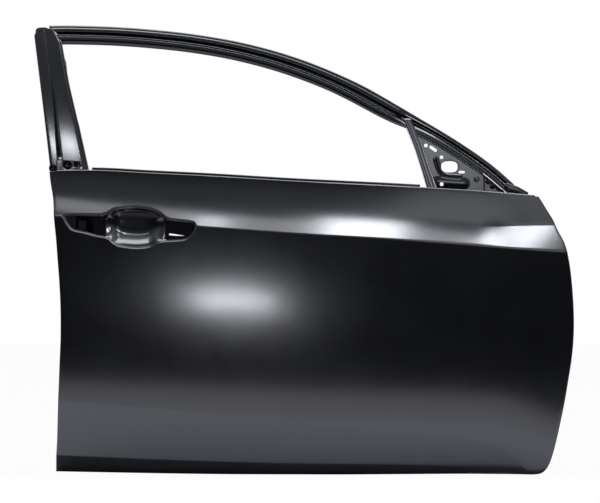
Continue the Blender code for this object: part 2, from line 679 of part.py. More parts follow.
def add_belt_edge(sheet, net, x, z):
    """The skin's top edge: rolled inwards and turned down behind the belt."""
    places = np.stack((x[0, 2:-1], z[0, 2:-1]), -1)
    base = on_skin(places)
    rolls = ((0.3 * BELT_ROLL, 0.75 * BELT_ROLL), (BELT_ROLL, BELT_ROLL),
             (BELT_RETURN - BELT_ROLL, BELT_ROLL), (BELT_RETURN, 0.0), (BELT_RETURN, -BELT_TURN_DOWN))
    rings = [net[0, 2:-1]]
    for inwards, up in rolls:
        rings.append(sheet.points(base + np.array((0.0, inwards, up))))
    sheet.grid(np.array(rings, dtype=object))


# The inner panel

def inner_y(x, z):
    """Cavity side of the inner panel's face: upright, and drawn outwards up to the belt."""
    belt = line_height(BELT_SHARES, x)
    shoulder = line_height(SHOULDER_SHARES, x)
    q = np.clip((z - shoulder) / (belt - shoulder), 0, 1.2)
    return INNER_FACE_IN - (INNER_FACE_IN - INNER_BELT_IN) * q * q


def wall_limits():
    """Cavity sides of the inner panel's rear and front walls."""
    return REAR + LATCH_SETBACK + INNER_SHEET, -INNER_SHEET


def pan_loop(border, inset):
    """The wall's line: the outline held a width in from every edge, and flat where hinges and latch sit."""
    reach = hem_radius() + HEM_WIDTH + SEAL_WIDTH + inset
    rear_wall, front_wall = wall_limits()
    within = np.clip(border[:, 0], rear_wall + inset, front_wall - inset)
    low = line_height(BOTTOM_SHARES, within) + reach
    high = line_height(BELT_SHARES, within) - INNER_BELOW_BELT
    z = np.clip(border[:, 1], low, high)
    x = np.clip(border[:, 0], np.maximum(rear_edge(z) + reach, rear_wall + inset),
                np.minimum(front_edge(z) - reach, front_wall - inset))
    return np.stack((x, z), 1)


def inner_upper_face(border):
    """Points of the face from the belt down to the shoulder, rows by columns, between the walls' rounds."""
    ends = pan_loop(border, PAN_ROUND)
    band = len(BELT_BAND_SHARES) + len(UPPER_BAND_SHARES) + 1
    across = np.linspace(0, 1, INNER_COLUMNS + 1)[None, :, None]
    rear_end, front_end = ends[:band, None], ends[::-1][:band, None]
    place = rear_end + (front_end - rear_end) * across
    return np.stack((place[..., 0], inner_y(place[..., 0], place[..., 1]), place[..., 1]), -1)


def inner_panel():
    border = border_loop()
    sheet = Sheet()
    behind = SKIN_SHEET + HEM_GAP
    start = on_rim(border, hem_radius() + WELD_GAP, behind)
    clasped = on_rim(border, hem_radius() + HEM_WIDTH, behind)
    flange = on_rim(border, rim_distance(), behind)
    step = on_rim(border, rim_distance() + FLANGE_CLEAR, behind + SEAL_STEP)
    step[:, 2] = np.minimum(step[:, 2], line_height(BELT_SHARES, step[:, 0]) - INNER_BELOW_BELT)
    base = on_skin(pan_loop(border, 0), behind + SEAL_STEP)
    rows = [start, clasped, flange, step, base]
    for inset_share, back_share in ((0.0, 1.0), (0.3, 0.3), (1.0, 0.0)):
        place = pan_loop(border, inset_share * PAN_ROUND)
        y = inner_y(place[:, 0], place[:, 1]) - back_share * PAN_ROUND
        rows.append(np.stack((place[:, 0], y, place[:, 1]), 1))
    rings = [sheet.points(row) for row in rows]
    sheet.grid(np.array(rings, dtype=object))
    last_ring = rings[-1]
    verts = sheet.points(inner_upper_face(border))
    sheet.grid(verts)
    band = len(verts)
    lower = np.concatenate((last_ring[band - 1:len(last_ring) - band + 1], verts[-1][-2:0:-1]))
    loops = [lower]
    for shape in inner_openings():
        loops.append(add_rim(sheet, shape, INNER_FACE_IN, RIM_WIDTH, -RIM_DEPTH))
    for shape in clip_holes():
        loops.append(sheet.points(np.stack((shape[:, 0], np.full(len(shape), INNER_FACE_IN), shape[:, 1]), 1)))
    fill(sheet, loops)
    pan = thicken(sheet.finish("inner_panel", primer("inner_panel"), towards=(0, -1, 0)), INNER_SHEET)
    for cutter in wall_cutters():
        cut(pan, cutter)
    return pan


def add_rim(sheet, shape, level, width, depth):
    """A hole's drawn edge, from the face's level to the depth at its lip: gives the outer loop."""
    outer = shape - width * (-inward(shape, closed=True))
    rings = [sheet.points(np.stack((ring[:, 0], np.full(len(ring), y), ring[:, 1]), 1))
             for ring, y in ((outer, level), (shape, level + depth))]
    sheet.grid(np.array(rings, dtype=object), closed=True)
    return rings[0]


def fill(sheet, loops):
    """Flat triangles between an outer loop and the loops of the holes inside it."""
    edges = []
    for loop in loops:
        for here, there in zip(loop, np.roll(loop, -1)):
            if here is not there:
                edge = sheet.bm.edges.get((here, there))
                edges.append(edge or sheet.bm.edges.new((here, there)))
    bmesh.ops.triangle_fill(sheet.bm, use_beauty=True, use_dissolve=False, edges=edges, normal=(0, -1, 0))


def face_place(shares):
    """x and z of places given in shares of the way between the inner panel's walls and of the body's height."""
    shares = np.asarray(shares, dtype=float)
    rear_wall, front_wall = wall_limits()
    return np.stack((rear_wall + (front_wall - rear_wall) * shares[..., 0],
                     BOTTOM + BODY_HEIGHT * shares[..., 1]), -1)


def rounded(corners, radius, steps=3):
    """A clockwise outline with its corners rounded."""
    corners = np.asarray(corners, dtype=float)
    points = []
    for before, here, after in zip(np.roll(corners, 1, 0), corners, np.roll(corners, -1, 0)):
        back, ahead = before - here, after - here
        reach = min(radius, 0.45 * np.linalg.norm(back), 0.45 * np.linalg.norm(ahead))
        first = here + back / np.linalg.norm(back) * reach
        last = here + ahead / np.linalg.norm(ahead) * reach
        for q in np.linspace(0, 1, steps + 1):
            points.append((1 - q) ** 2 * first + 2 * q * (1 - q) * here + q * q * last)
    return np.array(points)


def ring_points(centre, radius, count):
    """A clockwise circle as x and z pairs."""
    angle = -np.linspace(0, 2 * math.pi, count, endpoint=False)
    return np.stack((centre[0] + radius * np.cos(angle), centre[1] + radius * np.sin(angle)), 1)


def inner_openings():
    """Holes in the inner face for the glass lifter, the latch and the speaker."""
    speaker = face_place(SPEAKER_SHARES)
    return [rounded(face_place(SERVICE_HOLE_SHARES), HOLE_ROUND),
            rounded(face_place(LATCH_HOLE_SHARES), HOLE_ROUND),
            ring_points(speaker, SPEAKER_RADIUS, 20)]


def clip_holes():
    return [ring_points(face_place(place), CLIP_HOLE_RADIUS, 6) for place in CLIP_SHARES]


def cut(thing, cutter):
    cutter.hide_render = True
    cutter.display_type = "WIRE"
    step = thing.modifiers.new(cutter.name, "BOOLEAN")
    step.object = cutter
    step.operation = "DIFFERENCE"
    step.solver = "EXACT"
    return thing


def extrude_along_x(name, outline, start, end):
    """A solid bar along x from an outline of y and z pairs."""
    bm = bmesh.new()
    rings = [[bm.verts.new((x, y, z)) for y, z in outline] for x in (start, end)]
    bm.faces.new(rings[0])
    bm.faces.new(rings[1][::-1])
    count = len(outline)
    for j in range(count):
        k = (j + 1) % count
        bm.faces.new((rings[0][k], rings[0][j], rings[1][j], rings[1][k]))
    bmesh.ops.recalc_face_normals(bm, faces=bm.faces[:])
    return add_object(name, bm, bpy.data.materials[0])


def slot_points(centre, width, height, steps=4):
    """A rounded rectangle of y and z pairs."""
    w, h = width / 2, height / 2
    corners = [(centre[0] - w, centre[1] - h), (centre[0] - w, centre[1] + h),
               (centre[0] + w, centre[1] + h), (centre[0] + w, centre[1] - h)]
    return rounded(corners, min(w, h) * 0.98, steps)


def hinge_heights():
    return 0.0, HINGE_SPACING


def hinge_bolts():
    """y and z of the hinge bolts' centres."""
    return [(side * HINGE_BOLT_SPACING / 2, height) for height in hinge_heights() for side in (-1, 1)]


def front_foot_top():
    return HINGE_PLATE_HEIGHT / 2 + BEAM_FOOT_CLEAR + BEAM_FOOT_HEIGHT


def check_place():
    return HINGE_BOLT_SPACING / 4, front_foot_top() + BEAM_FOOT_CLEAR + CHECK_PLATE_HEIGHT / 2


def latch_place():
    return LATCH_IN, BOTTOM + LATCH_UP


def wall_cutters():
    """Cutters for the holes in the front and the rear wall."""
    rear_wall, front_wall = wall_limits()
    cutters = []
    for number, (y, z) in enumerate(hinge_bolts(), 1):
        outline = ring_points((y, z), HINGE_HOLE_RADIUS, 10)
        cutters.append(extrude_along_x(f"hinge_hole_{number}", outline, front_wall - OVERRUN, OVERRUN))
    check = slot_points(check_place(), CHECK_SLOT_WIDTH, CHECK_SLOT_HEIGHT)
    cutters.append(extrude_along_x("check_slot", check, front_wall - OVERRUN, OVERRUN))
    latch = slot_points(latch_place(), LATCH_SLOT_WIDTH, LATCH_SLOT_HEIGHT)
    cutters.append(extrude_along_x("latch_slot", latch, REAR + LATCH_SETBACK - OVERRUN, rear_wall + OVERRUN))
    return cutters


# The window frame

def frame_place(shares):
    """x and z of places given in shares of the body's length and of the frame's rise over the belt."""
    shares = np.asarray(shares, dtype=float)
    return np.stack((REAR + BODY_LENGTH * shares[..., 0], TOP + FRAME_RISE * shares[..., 1]), -1)


def frame_share(z):
    """A height as a share of the frame's rise over the belt."""
    return (z - TOP) / FRAME_RISE


def on_glass(places, depth):
    """Points on the frame's outer face, or inside it by a depth square to the window's cylinder."""
    places = np.asarray(places, dtype=float)
    x, z = places[..., 0], places[..., 1]
    out_y, out_z = glass_normal(z)
    depth = np.broadcast_to(depth, x.shape) - FRAME_FACE_OUT
    return np.stack((x, glass_y(x, z) + depth * out_y, z + depth * out_z), -1)


def channel(name, left, right, section, sheet_thickness):
    """A section carried between two edges: each of its points has a share of the width and a depth.

    The section may hold one row of points for every station along the edges.
    """
    section = np.asarray(section, dtype=float)
    if section.ndim == 2:
        section = np.broadcast_to(section, (len(left), *section.shape))
    places = left[:, None] + (right - left)[:, None] * section[..., 0:1]
    sheet = Sheet()
    sheet.grid(sheet.points(on_glass(places, section[..., 1])))
    return thicken(sheet.finish(name, primer(name), towards=(0, -1, 0)), sheet_thickness)


def header_edges():
    """The roof rail's upper edge and its lower edge, a rail's width inside it."""
    x_shares = np.linspace(HEADER_START_SHARE, HEADER_END_SHARE, HEADER_STATIONS)
    upper = frame_place(np.stack((x_shares, spline(HEADER_SHARES, x_shares)), 1))
    steps = np.gradient(upper, axis=0)
    steps /= np.linalg.norm(steps, axis=1, keepdims=True)
    down = np.stack((steps[:, 1], -steps[:, 0]), 1)
    width = HEADER_WIDTH * spline(HEADER_WIDTH_SHARES, x_shares)[:, None]
    lean = HEADER_END_LEAN * np.clip(1 - (x_shares - HEADER_START_SHARE) / HEADER_LEAN_SHARE, 0, 1)[:, None]
    return upper, upper + width * down + lean * steps


def under_header(x):
    """Height just below the roof rail's lower edge."""
    lower = header_edges()[1]
    return np.interp(x, lower[:, 0], lower[:, 1]) - FIT_GAP


def header_section():
    """Lip, outer face, glass-run groove, inner face and end flange."""
    lip, groove, turn = HEADER_LIP, HEADER_GROOVE, FRAME_SHEET
    return ((0.0, lip), (0.0, 2 * turn), (0.06, 0.5 * turn), (0.20, 0.0), (0.36, 0.5 * turn), (0.40, 2 * turn),
            (0.42, groove), (0.60, groove), (0.625, 2 * turn), (0.66, turn), (0.93, 2 * turn),
            (1.0, 4 * turn), (1.0, lip))


def header_sash():
    return channel("header_sash", *header_edges(), header_section(), FRAME_SHEET)


def header_inner():
    """The closing channel behind the roof rail, nested between its two flanges."""
    upper, lower = header_edges()
    nests = 2 * (FRAME_SHEET + WELD_GAP) / np.linalg.norm(upper - lower, axis=1)
    floor = HEADER_GROOVE + FRAME_SHEET + HEADER_BOX
    start = HEADER_LIP - NEST_OVERLAP
    rows = [((nest, start), (nest, floor - FRAME_SHEET), (nest + 0.1, floor), (0.9 - nest, floor),
             (1 - nest, floor - FRAME_SHEET), (1 - nest, start)) for nest in nests]
    return channel("header_inner", upper[1:-1], lower[1:-1], rows[1:-1], FRAME_SHEET)


def rear_sash_edges(z_shares):
    left = frame_place(np.stack((spline(REAR_SASH_LEFT_SHARES, z_shares), z_shares), 1))
    right_z = z_shares + SASH_TOP_SLANT_SHARE * np.clip((z_shares - 0.8) / 0.2, 0, 1)
    right = frame_place(np.stack((spline(REAR_SASH_RIGHT_SHARES, right_z), right_z), 1))
    return left, right


def rear_sash():
    """The wide rear upright with its tapered groove, and the tongue below it inside the door."""
    z_shares = np.concatenate((np.linspace(SASH_TOP_SHARE, SASH_FOOT_SHARE, SASH_STATIONS),
                               (SASH_FOOT_SHARE - 0.004, SASH_FOOT_SHARE - 0.10, SASH_TONGUE_SHARE)))
    left, right = rear_sash_edges(z_shares)
    inside = z_shares < SASH_FOOT_SHARE - 0.002
    left[inside, 0] = wall_limits()[0] + WELD_GAP
    taper = np.clip((SASH_TOP_SHARE - z_shares) / (SASH_TOP_SHARE - SASH_FOOT_SHARE), 0, 1)
    width = right[:, 0] - left[:, 0]
    middle = np.where(inside, 0.5, 0.42 - 0.11 * taper)
    half = np.where(inside, 0.10, (SASH_GROOVE_WIDTH / 2 * (0.35 + 0.65 * taper)) / width)
    depth = np.where(inside, 0.5, 1) * SASH_GROOVE_DEPTH
    turn = FRAME_SHEET
    rows = []
    for m, h, d in zip(middle, half, depth):
        rows.append(((0.0, SASH_SIDE), (0.0, 2 * turn), (2 * turn / SASH_WIDTH, 0.0), (m - h, 0.0),
                     (m - 0.6 * h, d), (m + 0.6 * h, d), (m + h, 0.0), (0.90, 0.0), (0.93, turn),
                     (0.95, 3 * turn), (1.0, 4 * turn), (1.0, SASH_SIDE)))
    return channel("rear_sash", left, right, rows, FRAME_SHEET)


def rear_sash_inner():
    """The closing plate behind the rear upright."""
    z_shares = np.linspace(SASH_TOP_SHARE, SASH_FOOT_SHARE, SASH_STATIONS)[1:-1]
    left, right = rear_sash_edges(z_shares)
    nest = 2 * (FRAME_SHEET + WELD_GAP) / (right - left)[:, 0]
    start = SASH_SIDE - NEST_OVERLAP
    rows = [((n, start), (n, SASH_SIDE), (0.3, SASH_SIDE + 0.4 * NEST_OVERLAP), (0.7, SASH_SIDE + 0.4 * NEST_OVERLAP),
             (1 - n, SASH_SIDE), (1 - n, start)) for n in nest]
    return channel("rear_sash_inner", left, right, rows, FRAME_SHEET)


def division_x():
    """Where the front glass guide meets the roof rail."""
    return frame_place((DIVISION_LEFT_SHARES[-1][1], 0.0))[0]


def over_beam(x):
    """Height just above the impact beam."""
    ends = beam_ends()
    return np.interp(x, ends[:, 0], ends[:, 2]) + BEAM_RADIUS + BEAM_FOOT_CLEAR


def division_edges(z_shares):
    left = frame_place(np.stack((spline(DIVISION_LEFT_SHARES, z_shares), z_shares), 1))
    right = frame_place(np.stack((spline(DIVISION_RIGHT_SHARES, z_shares), z_shares), 1))
    return left, right


def division_sash():
    """The front glass guide: from under the roof rail down into the door, to just over the beam."""
    top, foot = frame_share(under_header(division_x())), frame_share(over_beam(division_x()))
    z_shares = np.concatenate((np.linspace(top, 0, 6), np.linspace(0, foot, 5)[1:]))
    left, right = division_edges(z_shares)
    for edge in (left, right):
        edge[0, 1] = under_header(edge[0, 0]) - FIT_GAP
    turn = FRAME_SHEET
    section = ((0.0, DIVISION_SIDE), (0.0, turn), (0.08, 0.0), (0.34, 0.0), (0.42, 2 * turn), (0.58, 2 * turn),
               (0.66, 0.0), (0.92, 0.0), (1.0, turn), (1.0, DIVISION_SIDE))
    return channel("division_sash", left, right, section, FRAME_SHEET)


def rear_run_channel():
    """The rear glass guide inside the door, against the latch wall."""
    foot = beam_ends()[0][2] + BEAM_FOOT_HEIGHT / 2 + BEAM_FOOT_CLEAR
    z_shares = np.linspace(SASH_TONGUE_SHARE - 0.03, frame_share(foot), 4)
    left, right = rear_sash_edges(z_shares)
    left[:, 0] = wall_limits()[0] + WELD_GAP
    right[:, 0] = left[:, 0] + RUN_WIDTH
    turn = FRAME_SHEET
    section = ((0.0, DIVISION_SIDE), (0.0, turn), (0.1, 0.0), (0.9, 0.0), (1.0, turn), (1.0, DIVISION_SIDE))
    return channel("rear_run_channel", left, right, section, FRAME_SHEET)


def flat_plate(name, outline, holes, depth, thickness, material=None):
    """A plate on the window's cylinder with holes in it."""
    sheet = Sheet()
    loops = [sheet.points(on_glass(loop, depth)) for loop in [outline] + holes]
    fill(sheet, loops)
    return thicken(sheet.finish(name, material or primer(name), towards=(0, -1, 0)), thickness)


def mirror_plate():
    """The triangular plate that carries the mirror, between the roof rail and the front glass guide."""
    edge_z = np.linspace(MIRROR_FOOT_SHARE, MIRROR_TOP_SHARE, 7)
    edge = division_edges(edge_z)[1]
    edge[:, 0] += WELD_GAP + FRAME_SHEET / 2
    edge[-1, 1] = under_header(edge[-1, 0])
    front = frame_place(MIRROR_FRONT_SHARE)
    rail = header_edges()[1][:, 0]
    upper_x = np.append(rail[(rail > edge[-1, 0] + FRAME_SHEET) & (rail < front[0] - FRAME_SHEET)], front[0])
    outline = np.concatenate((edge, np.stack((upper_x, under_header(upper_x)), 1), front[None]))
    holes = [ring_points(frame_place(place), radius, 8) for place, radius in
             zip(MIRROR_BOLT_SHARES, (MIRROR_HOLE_RADIUS,) * len(MIRROR_BOLT_SHARES))]
    wire = frame_place(MIRROR_WIRE_SHARE)
    w, h = MIRROR_WIRE_WIDTH / 2, MIRROR_WIRE_HEIGHT / 2
    holes.append(rounded(((wire[0] - w, wire[1] - 0.6 * h), (wire[0] - w, wire[1] + h),
                          (wire[0] + 0.5 * w, wire[1] + h), (wire[0] + w, wire[1] - 0.2 * h),
                          (wire[0] + 0.7 * w, wire[1] - h)), 0.7 * h))
    return flat_plate("mirror_plate", outline, holes, MIRROR_DEPTH, PLATE_SHEET)


def tip_cap():
    """The frame's front tip: a plate that stands up from behind the skin's turned-down edge."""
    places = frame_place(TIP_SHARES)
    x, z = places.T
    y = skin_y(x, line_height(BELT_SHARES, x)) + BELT_RETURN + WELD_GAP
    sheet = Sheet()
    fill(sheet, [sheet.points(np.stack((x, y, z), 1))])
    thicken(sheet.finish("tip_cap", primer("tip_cap"), towards=(0, -1, 0)), PLATE_SHEET)


# Strengtheners inside the door

def belt_outer():
    """Strip welded behind the skin's turned-down edge; its top shows as a dark line over the belt."""
    x = REAR + BODY_LENGTH * np.linspace(*BELT_STRIP_SHARES, 16)
    z = line_height(BELT_SHARES, x)
    y = skin_y(x, z) + BELT_RETURN + WELD_GAP
    low = -BELT_TURN_DOWN
    profile = ((0.0, BELT_STRIP_UP), (0.0, low), (-BELT_BEAD, low - BELT_BEAD),
               (-BELT_BEAD, -BELT_STRIP_DOWN), (0.0, -BELT_STRIP_DOWN - BELT_BEAD))
    sheet = Sheet()
    rows = [np.stack((x, y + inwards, z + up), 1) for inwards, up in profile]
    sheet.grid(sheet.points(np.array(rows)))
    return thicken(sheet.finish("belt_outer", primer("belt_outer"), towards=(0, -1, 0)), FRAME_SHEET)


def belt_inner():
    """Ribbed strip welded to the inner panel below the window slot, over its two upper facets."""
    face = inner_upper_face(border_loop())[:, 1:-1]
    rows = []
    for down_share, bead_share in BELT_INNER_SHARES:
        facet = min(int(down_share), 1)
        rows.append(face[facet] + (face[facet + 1] - face[facet]) * (down_share - facet))
    surface = np.array(rows)
    across, along = np.gradient(surface, axis=0), np.gradient(surface, axis=1)
    out = np.cross(along, across)
    out *= -np.sign(out[..., 1:2]) / np.linalg.norm(out, axis=-1, keepdims=True)
    stand = FIT_GAP + FRAME_SHEET + BELT_BEAD * np.array(BELT_INNER_SHARES)[:, 1]
    sheet = Sheet()
    sheet.grid(sheet.points(surface + out * stand[:, None, None]))
    return thicken(sheet.finish("belt_inner", primer("belt_inner"), towards=(0, -1, 0)), FRAME_SHEET)


def beam_ends():
    """The beam's axis: just behind the skin at both ends, and above the lower hinge's plate."""
    rear_wall, front_wall = wall_limits()
    x = np.array((rear_wall + BEAM_END_IN, front_wall - BEAM_END_IN))
    z = np.array((BOTTOM + BEAM_REAR_SHARE * BODY_HEIGHT, front_foot_top() - BEAM_FOOT_HEIGHT / 2))
    y = skin_y(x, z) + SKIN_SHEET + BEAM_CLEAR + BEAM_RADIUS
    return np.stack((x, y, z), 1)


def tube(name, start, end, radius, wall, material):
    """A straight pipe, open at both ends."""
    axis = (end - start) / np.linalg.norm(end - start)
    side = np.cross(axis, (0, 1, 0))
    side = side / np.linalg.norm(side)
    up = np.cross(side, axis)
    angle = np.linspace(0, 2 * math.pi, 14, endpoint=False)[:, None]
    sheet = Sheet()
    ring = radius * (np.cos(angle) * side + np.sin(angle) * up)
    sheet.grid(sheet.points(np.array((start + ring, end + ring))), closed=True)
    bmesh.ops.recalc_face_normals(sheet.bm, faces=sheet.bm.faces[:])
    return thicken(sheet.finish(name, material), wall)


def impact_beam():
    return tube("impact_beam", *beam_ends(), BEAM_RADIUS, BEAM_WALL, primer("impact_beam"))


def folded_plate(name, profile, low, high, thickness, towards):
    """A strip of sheet: a folded line of x and y pairs carried straight up."""
    sheet = Sheet()
    rows = [[(x, y, z) for x, y in profile] for z in (low, high)]
    sheet.grid(sheet.points(rows))
    return thicken(sheet.finish(name, primer(name), towards=towards), thickness)


def beam_brackets():
    """Angles that carry the beam's ends: one leg on a wall, the other behind the tube."""
    rear_wall, front_wall = wall_limits()
    ends = beam_ends()
    for name, end, wall, side in (("beam_bracket_rear", ends[0], rear_wall, 1),
                                  ("beam_bracket_front", ends[1], front_wall, -1)):
        leg = wall + side * WELD_GAP
        tip = end[0] + side * BEAM_FOOT_REACH
        seat_at_leg, seat_at_tip = np.interp((leg, tip), ends[:, 0], ends[:, 1]) + BEAM_RADIUS + WELD_GAP
        profile = ((leg, seat_at_leg + BEAM_FOOT_TAB), (leg, seat_at_leg), (tip, seat_at_tip))
        low = end[2] - BEAM_FOOT_HEIGHT / 2
        folded_plate(name, profile, low, low + BEAM_FOOT_HEIGHT, PLATE_SHEET, (side * -0.2, -1, 0))


def wall_plate(name, wall, side, centre, width, height, thickness, leg):
    """A flat plate against the cavity side of a wall, with one leg folded into the cavity."""
    face = wall + side * WELD_GAP
    y, z = centre
    profile = ((face, y - width / 2), (face, y + width / 2), (face + side * leg, y + width / 2))
    return folded_plate(name, profile, z - height / 2, z + height / 2, thickness, (-side, 0.2, 0))


def hinge_plates():
    front_wall = wall_limits()[1]
    for name, height in zip(("hinge_plate_lower", "hinge_plate_upper"), hinge_heights()):
        plate = wall_plate(name, front_wall, -1, (0.0, height), HINGE_PLATE_WIDTH, HINGE_PLATE_HEIGHT,
                           HINGE_SHEET, HINGE_PLATE_LEG)
        for number, (y, z) in enumerate(hinge_bolts(), 1):
            if abs(z - height) < HINGE_PLATE_HEIGHT / 2:
                outline = ring_points((y, z), HINGE_HOLE_RADIUS, 10)
                start = front_wall - WELD_GAP - HINGE_SHEET - OVERRUN
                cut(plate, extrude_along_x(f"{name}_hole_{number}", outline, start, front_wall + OVERRUN))


def hinge_nuts():
    """A weld nut behind each bolt hole of the hinge plates."""
    face = wall_limits()[1] - 2 * WELD_GAP - HINGE_SHEET
    for number, (y, z) in enumerate(hinge_bolts(), 1):
        bm = bmesh.new()
        bore = ring_points((y, z), NUT_BORE, 12)
        hexagon = ring_points((y, z), NUT_RADIUS, 6)
        hexagon = np.stack((np.interp(np.arange(12) / 2, np.arange(7), np.append(hexagon[:, 0], hexagon[0, 0])),
                            np.interp(np.arange(12) / 2, np.arange(7), np.append(hexagon[:, 1], hexagon[0, 1]))), 1)
        loops = [[bm.verts.new((x, *place)) for place in ring]
                 for x, ring in ((face, bore), (face, hexagon), (face - NUT_DEPTH, hexagon),
                                 (face - NUT_DEPTH, bore))]
        for here, there in zip(loops, loops[1:] + loops[:1]):
            for j in range(12):
                k = (j + 1) % 12
                bm.faces.new((here[j], here[k], there[k], there[j]))
        bmesh.ops.recalc_face_normals(bm, faces=bm.faces[:])
        add_object(f"hinge_nut_{number}", bm, plating(f"hinge_nut_{number}"))


def latch_plate():
    rear_wall = wall_limits()[0]
    plate = wall_plate("latch_plate", rear_wall, 1, latch_place(), LATCH_PLATE_WIDTH, LATCH_PLATE_HEIGHT,
                       PLATE_SHEET, HINGE_PLATE_LEG)
    outline = slot_points(latch_place(), LATCH_SLOT_WIDTH, LATCH_SLOT_HEIGHT)
    cut(plate, extrude_along_x("latch_plate_slot", outline, rear_wall - OVERRUN,
                               rear_wall + WELD_GAP + PLATE_SHEET + OVERRUN))


def check_plate():
    front_wall = wall_limits()[1]
    plate = wall_plate("check_plate", front_wall, -1, check_place(), CHECK_PLATE_WIDTH, CHECK_PLATE_HEIGHT,
                       PLATE_SHEET, HINGE_PLATE_LEG)
    outline = slot_points(check_place(), CHECK_SLOT_WIDTH, CHECK_SLOT_HEIGHT)
    cut(plate, extrude_along_x("check_plate_slot", outline, front_wall - WELD_GAP - PLATE_SHEET - OVERRUN,
                               front_wall + OVERRUN))


def on_back_of_skin(name, x, z, depth, material, thickness):
    """A sheet laid on the skin's inner face: depth is its distance behind that face."""
    y = skin_y(x, z) + SKIN_SHEET + depth
    sheet = Sheet()
    sheet.grid(sheet.points(np.stack((x, y, z), -1)))
    return thicken(sheet.finish(name, material, towards=(0, -1, 0)), thickness)


def skin_stiffener():
    """Ribbed strip bonded across the back of the skin below the shoulder."""
    first, last, height_share = STIFFENER_SHARES
    x = REAR + BODY_LENGTH * np.linspace(first, last, 14)[None, :]
    up = STIFFENER_HEIGHT * np.array((-0.5, -0.3, -0.16, 0.16, 0.3, 0.5))[:, None]
    z = BOTTOM + BODY_HEIGHT * height_share + up
    x, z = np.broadcast_arrays(x, z)
    bead = STIFFENER_BEAD * np.array((0, 0, 1, 1, 0, 0))[:, None]
    on_back_of_skin("skin_stiffener", x, z, 2 * WELD_GAP + bead, primer("skin_stiffener"), SKIN_SHEET)


def mastic_pads():
    """Soft pads between the beam and the skin, which stop it drumming."""
    start, end = beam_ends()
    for number, share in enumerate(PAD_SHARES, 1):
        centre = start + (end - start) * share
        x = centre[0] + PAD_LENGTH * np.linspace(-0.5, 0.5, 5)[None, :]
        z = centre[2] + PAD_HEIGHT * np.linspace(-0.5, 0.5, 3)[:, None]
        x, z = np.broadcast_arrays(x, z)
        material = new_material(f"mastic_{number}", (0.05, 0.05, 0.05), 0.8, 0.0)
        gap = float(centre[1] - BEAM_RADIUS - SKIN_SHEET - skin_y(centre[0], centre[2]))
        on_back_of_skin(f"mastic_pad_{number}", x, z, WELD_GAP, material, gap - 3 * WELD_GAP)


def handle_bracket():
    """Plate that leans against the back of the recess's ledge, with a hole round the finger cup."""
    def place(share):
        x = recess_start() + RECESS_LENGTH * share[:, 0]
        reach = np.where(share[:, 1] > 0, RECESS_ABOVE, RECESS_BELOW)
        return np.stack((x, line_height(SHOULDER_SHARES, x) + share[:, 1] * reach), 1)

    outline, way_in = recess_outline(RECESS_POINTS, RECESS_POINTS)
    ledge = outline + (LEDGE_WIDTH - BRACKET_LAP) * way_in
    left, right = cup_ends()
    beside = 2 * CUP_BULGE + BRACKET_LAP
    hole = ledge[(ledge[:, 0] > left - beside) & (ledge[:, 0] < right + beside)]
    centre_x = (left + right) / 2
    seats = line_height(SHOULDER_SHARES, centre_x) + np.array((-RECESS_BELOW, RECESS_ABOVE))
    seat_y = skin_y(centre_x, seats) + LEDGE_DEPTH + SKIN_SHEET + WELD_GAP
    slope = (seat_y[1] - seat_y[0]) / (seats[1] - seats[0])
    sheet = Sheet()
    rim = rounded(place(np.array(BRACKET_SHARES)), BRACKET_RIM)
    fill(sheet, [sheet.points(np.stack((loop[:, 0], seat_y[0] + slope * (loop[:, 1] - seats[0]), loop[:, 1]), 1))
                 for loop in (rim, hole, place(np.array(WEDGE_SHARES)))])
    return thicken(sheet.finish("handle_bracket", primer("handle_bracket"), towards=(0, -1, 0)), FRAME_SHEET)


def front_run_bracket():
    """Crank from the inner panel to the foot of the front glass guide."""
    half = RUN_BRACKET_WIDTH / 2
    foot = frame_share(over_beam(division_x()) + half)
    left, right = division_edges(np.array((foot,)))
    centre = on_glass((left + right) / 2, DIVISION_SIDE)[0]
    corners = np.array([(centre[0] + side * half, centre[2] + up * half) for side in (-1, 1) for up in (-1, 1)])
    start = on_glass(corners, DIVISION_SIDE)[:, 1].max() + WELD_GAP
    end = INNER_FACE_IN - WELD_GAP
    profile = ((centre[0] - half, start), (centre[0] + half, start), (centre[0] + half, end - PLATE_SHEET),
               (centre[0] + 3 * half, end - PLATE_SHEET))
    return folded_plate("front_run_bracket", profile, centre[2] - half, centre[2] + half, PLATE_SHEET, (1, -1, 0))


def clear_scene():
    for thing in list(bpy.data.objects):
        bpy.data.objects.remove(thing, do_unlink=True)


def main():
    clear_scene()
    outer_panel()
    inner_panel()
    header_sash()
    header_inner()
    rear_sash()
    rear_sash_inner()
    division_sash()
    rear_run_channel()
    mirror_plate()
    tip_cap()
    belt_outer()
    belt_inner()
    impact_beam()
    beam_brackets()
    hinge_plates()
    hinge_nuts()
    latch_plate()
    check_plate()
    skin_stiffener()
    mastic_pads()
    handle_bracket()
    front_run_bracket()


main()
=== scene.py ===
"""Looks of the front right-hand car door shell: fine pressings over the CAD frame, primer, light and camera.

Metres, +Z up, +X towards the hinge edge, -Y outwards, as in the frame. SHARES tables on the skin are in
shares of the body's length and height. Those on the window frame are in shares of the body's length and the
frame's rise.
"""
import math

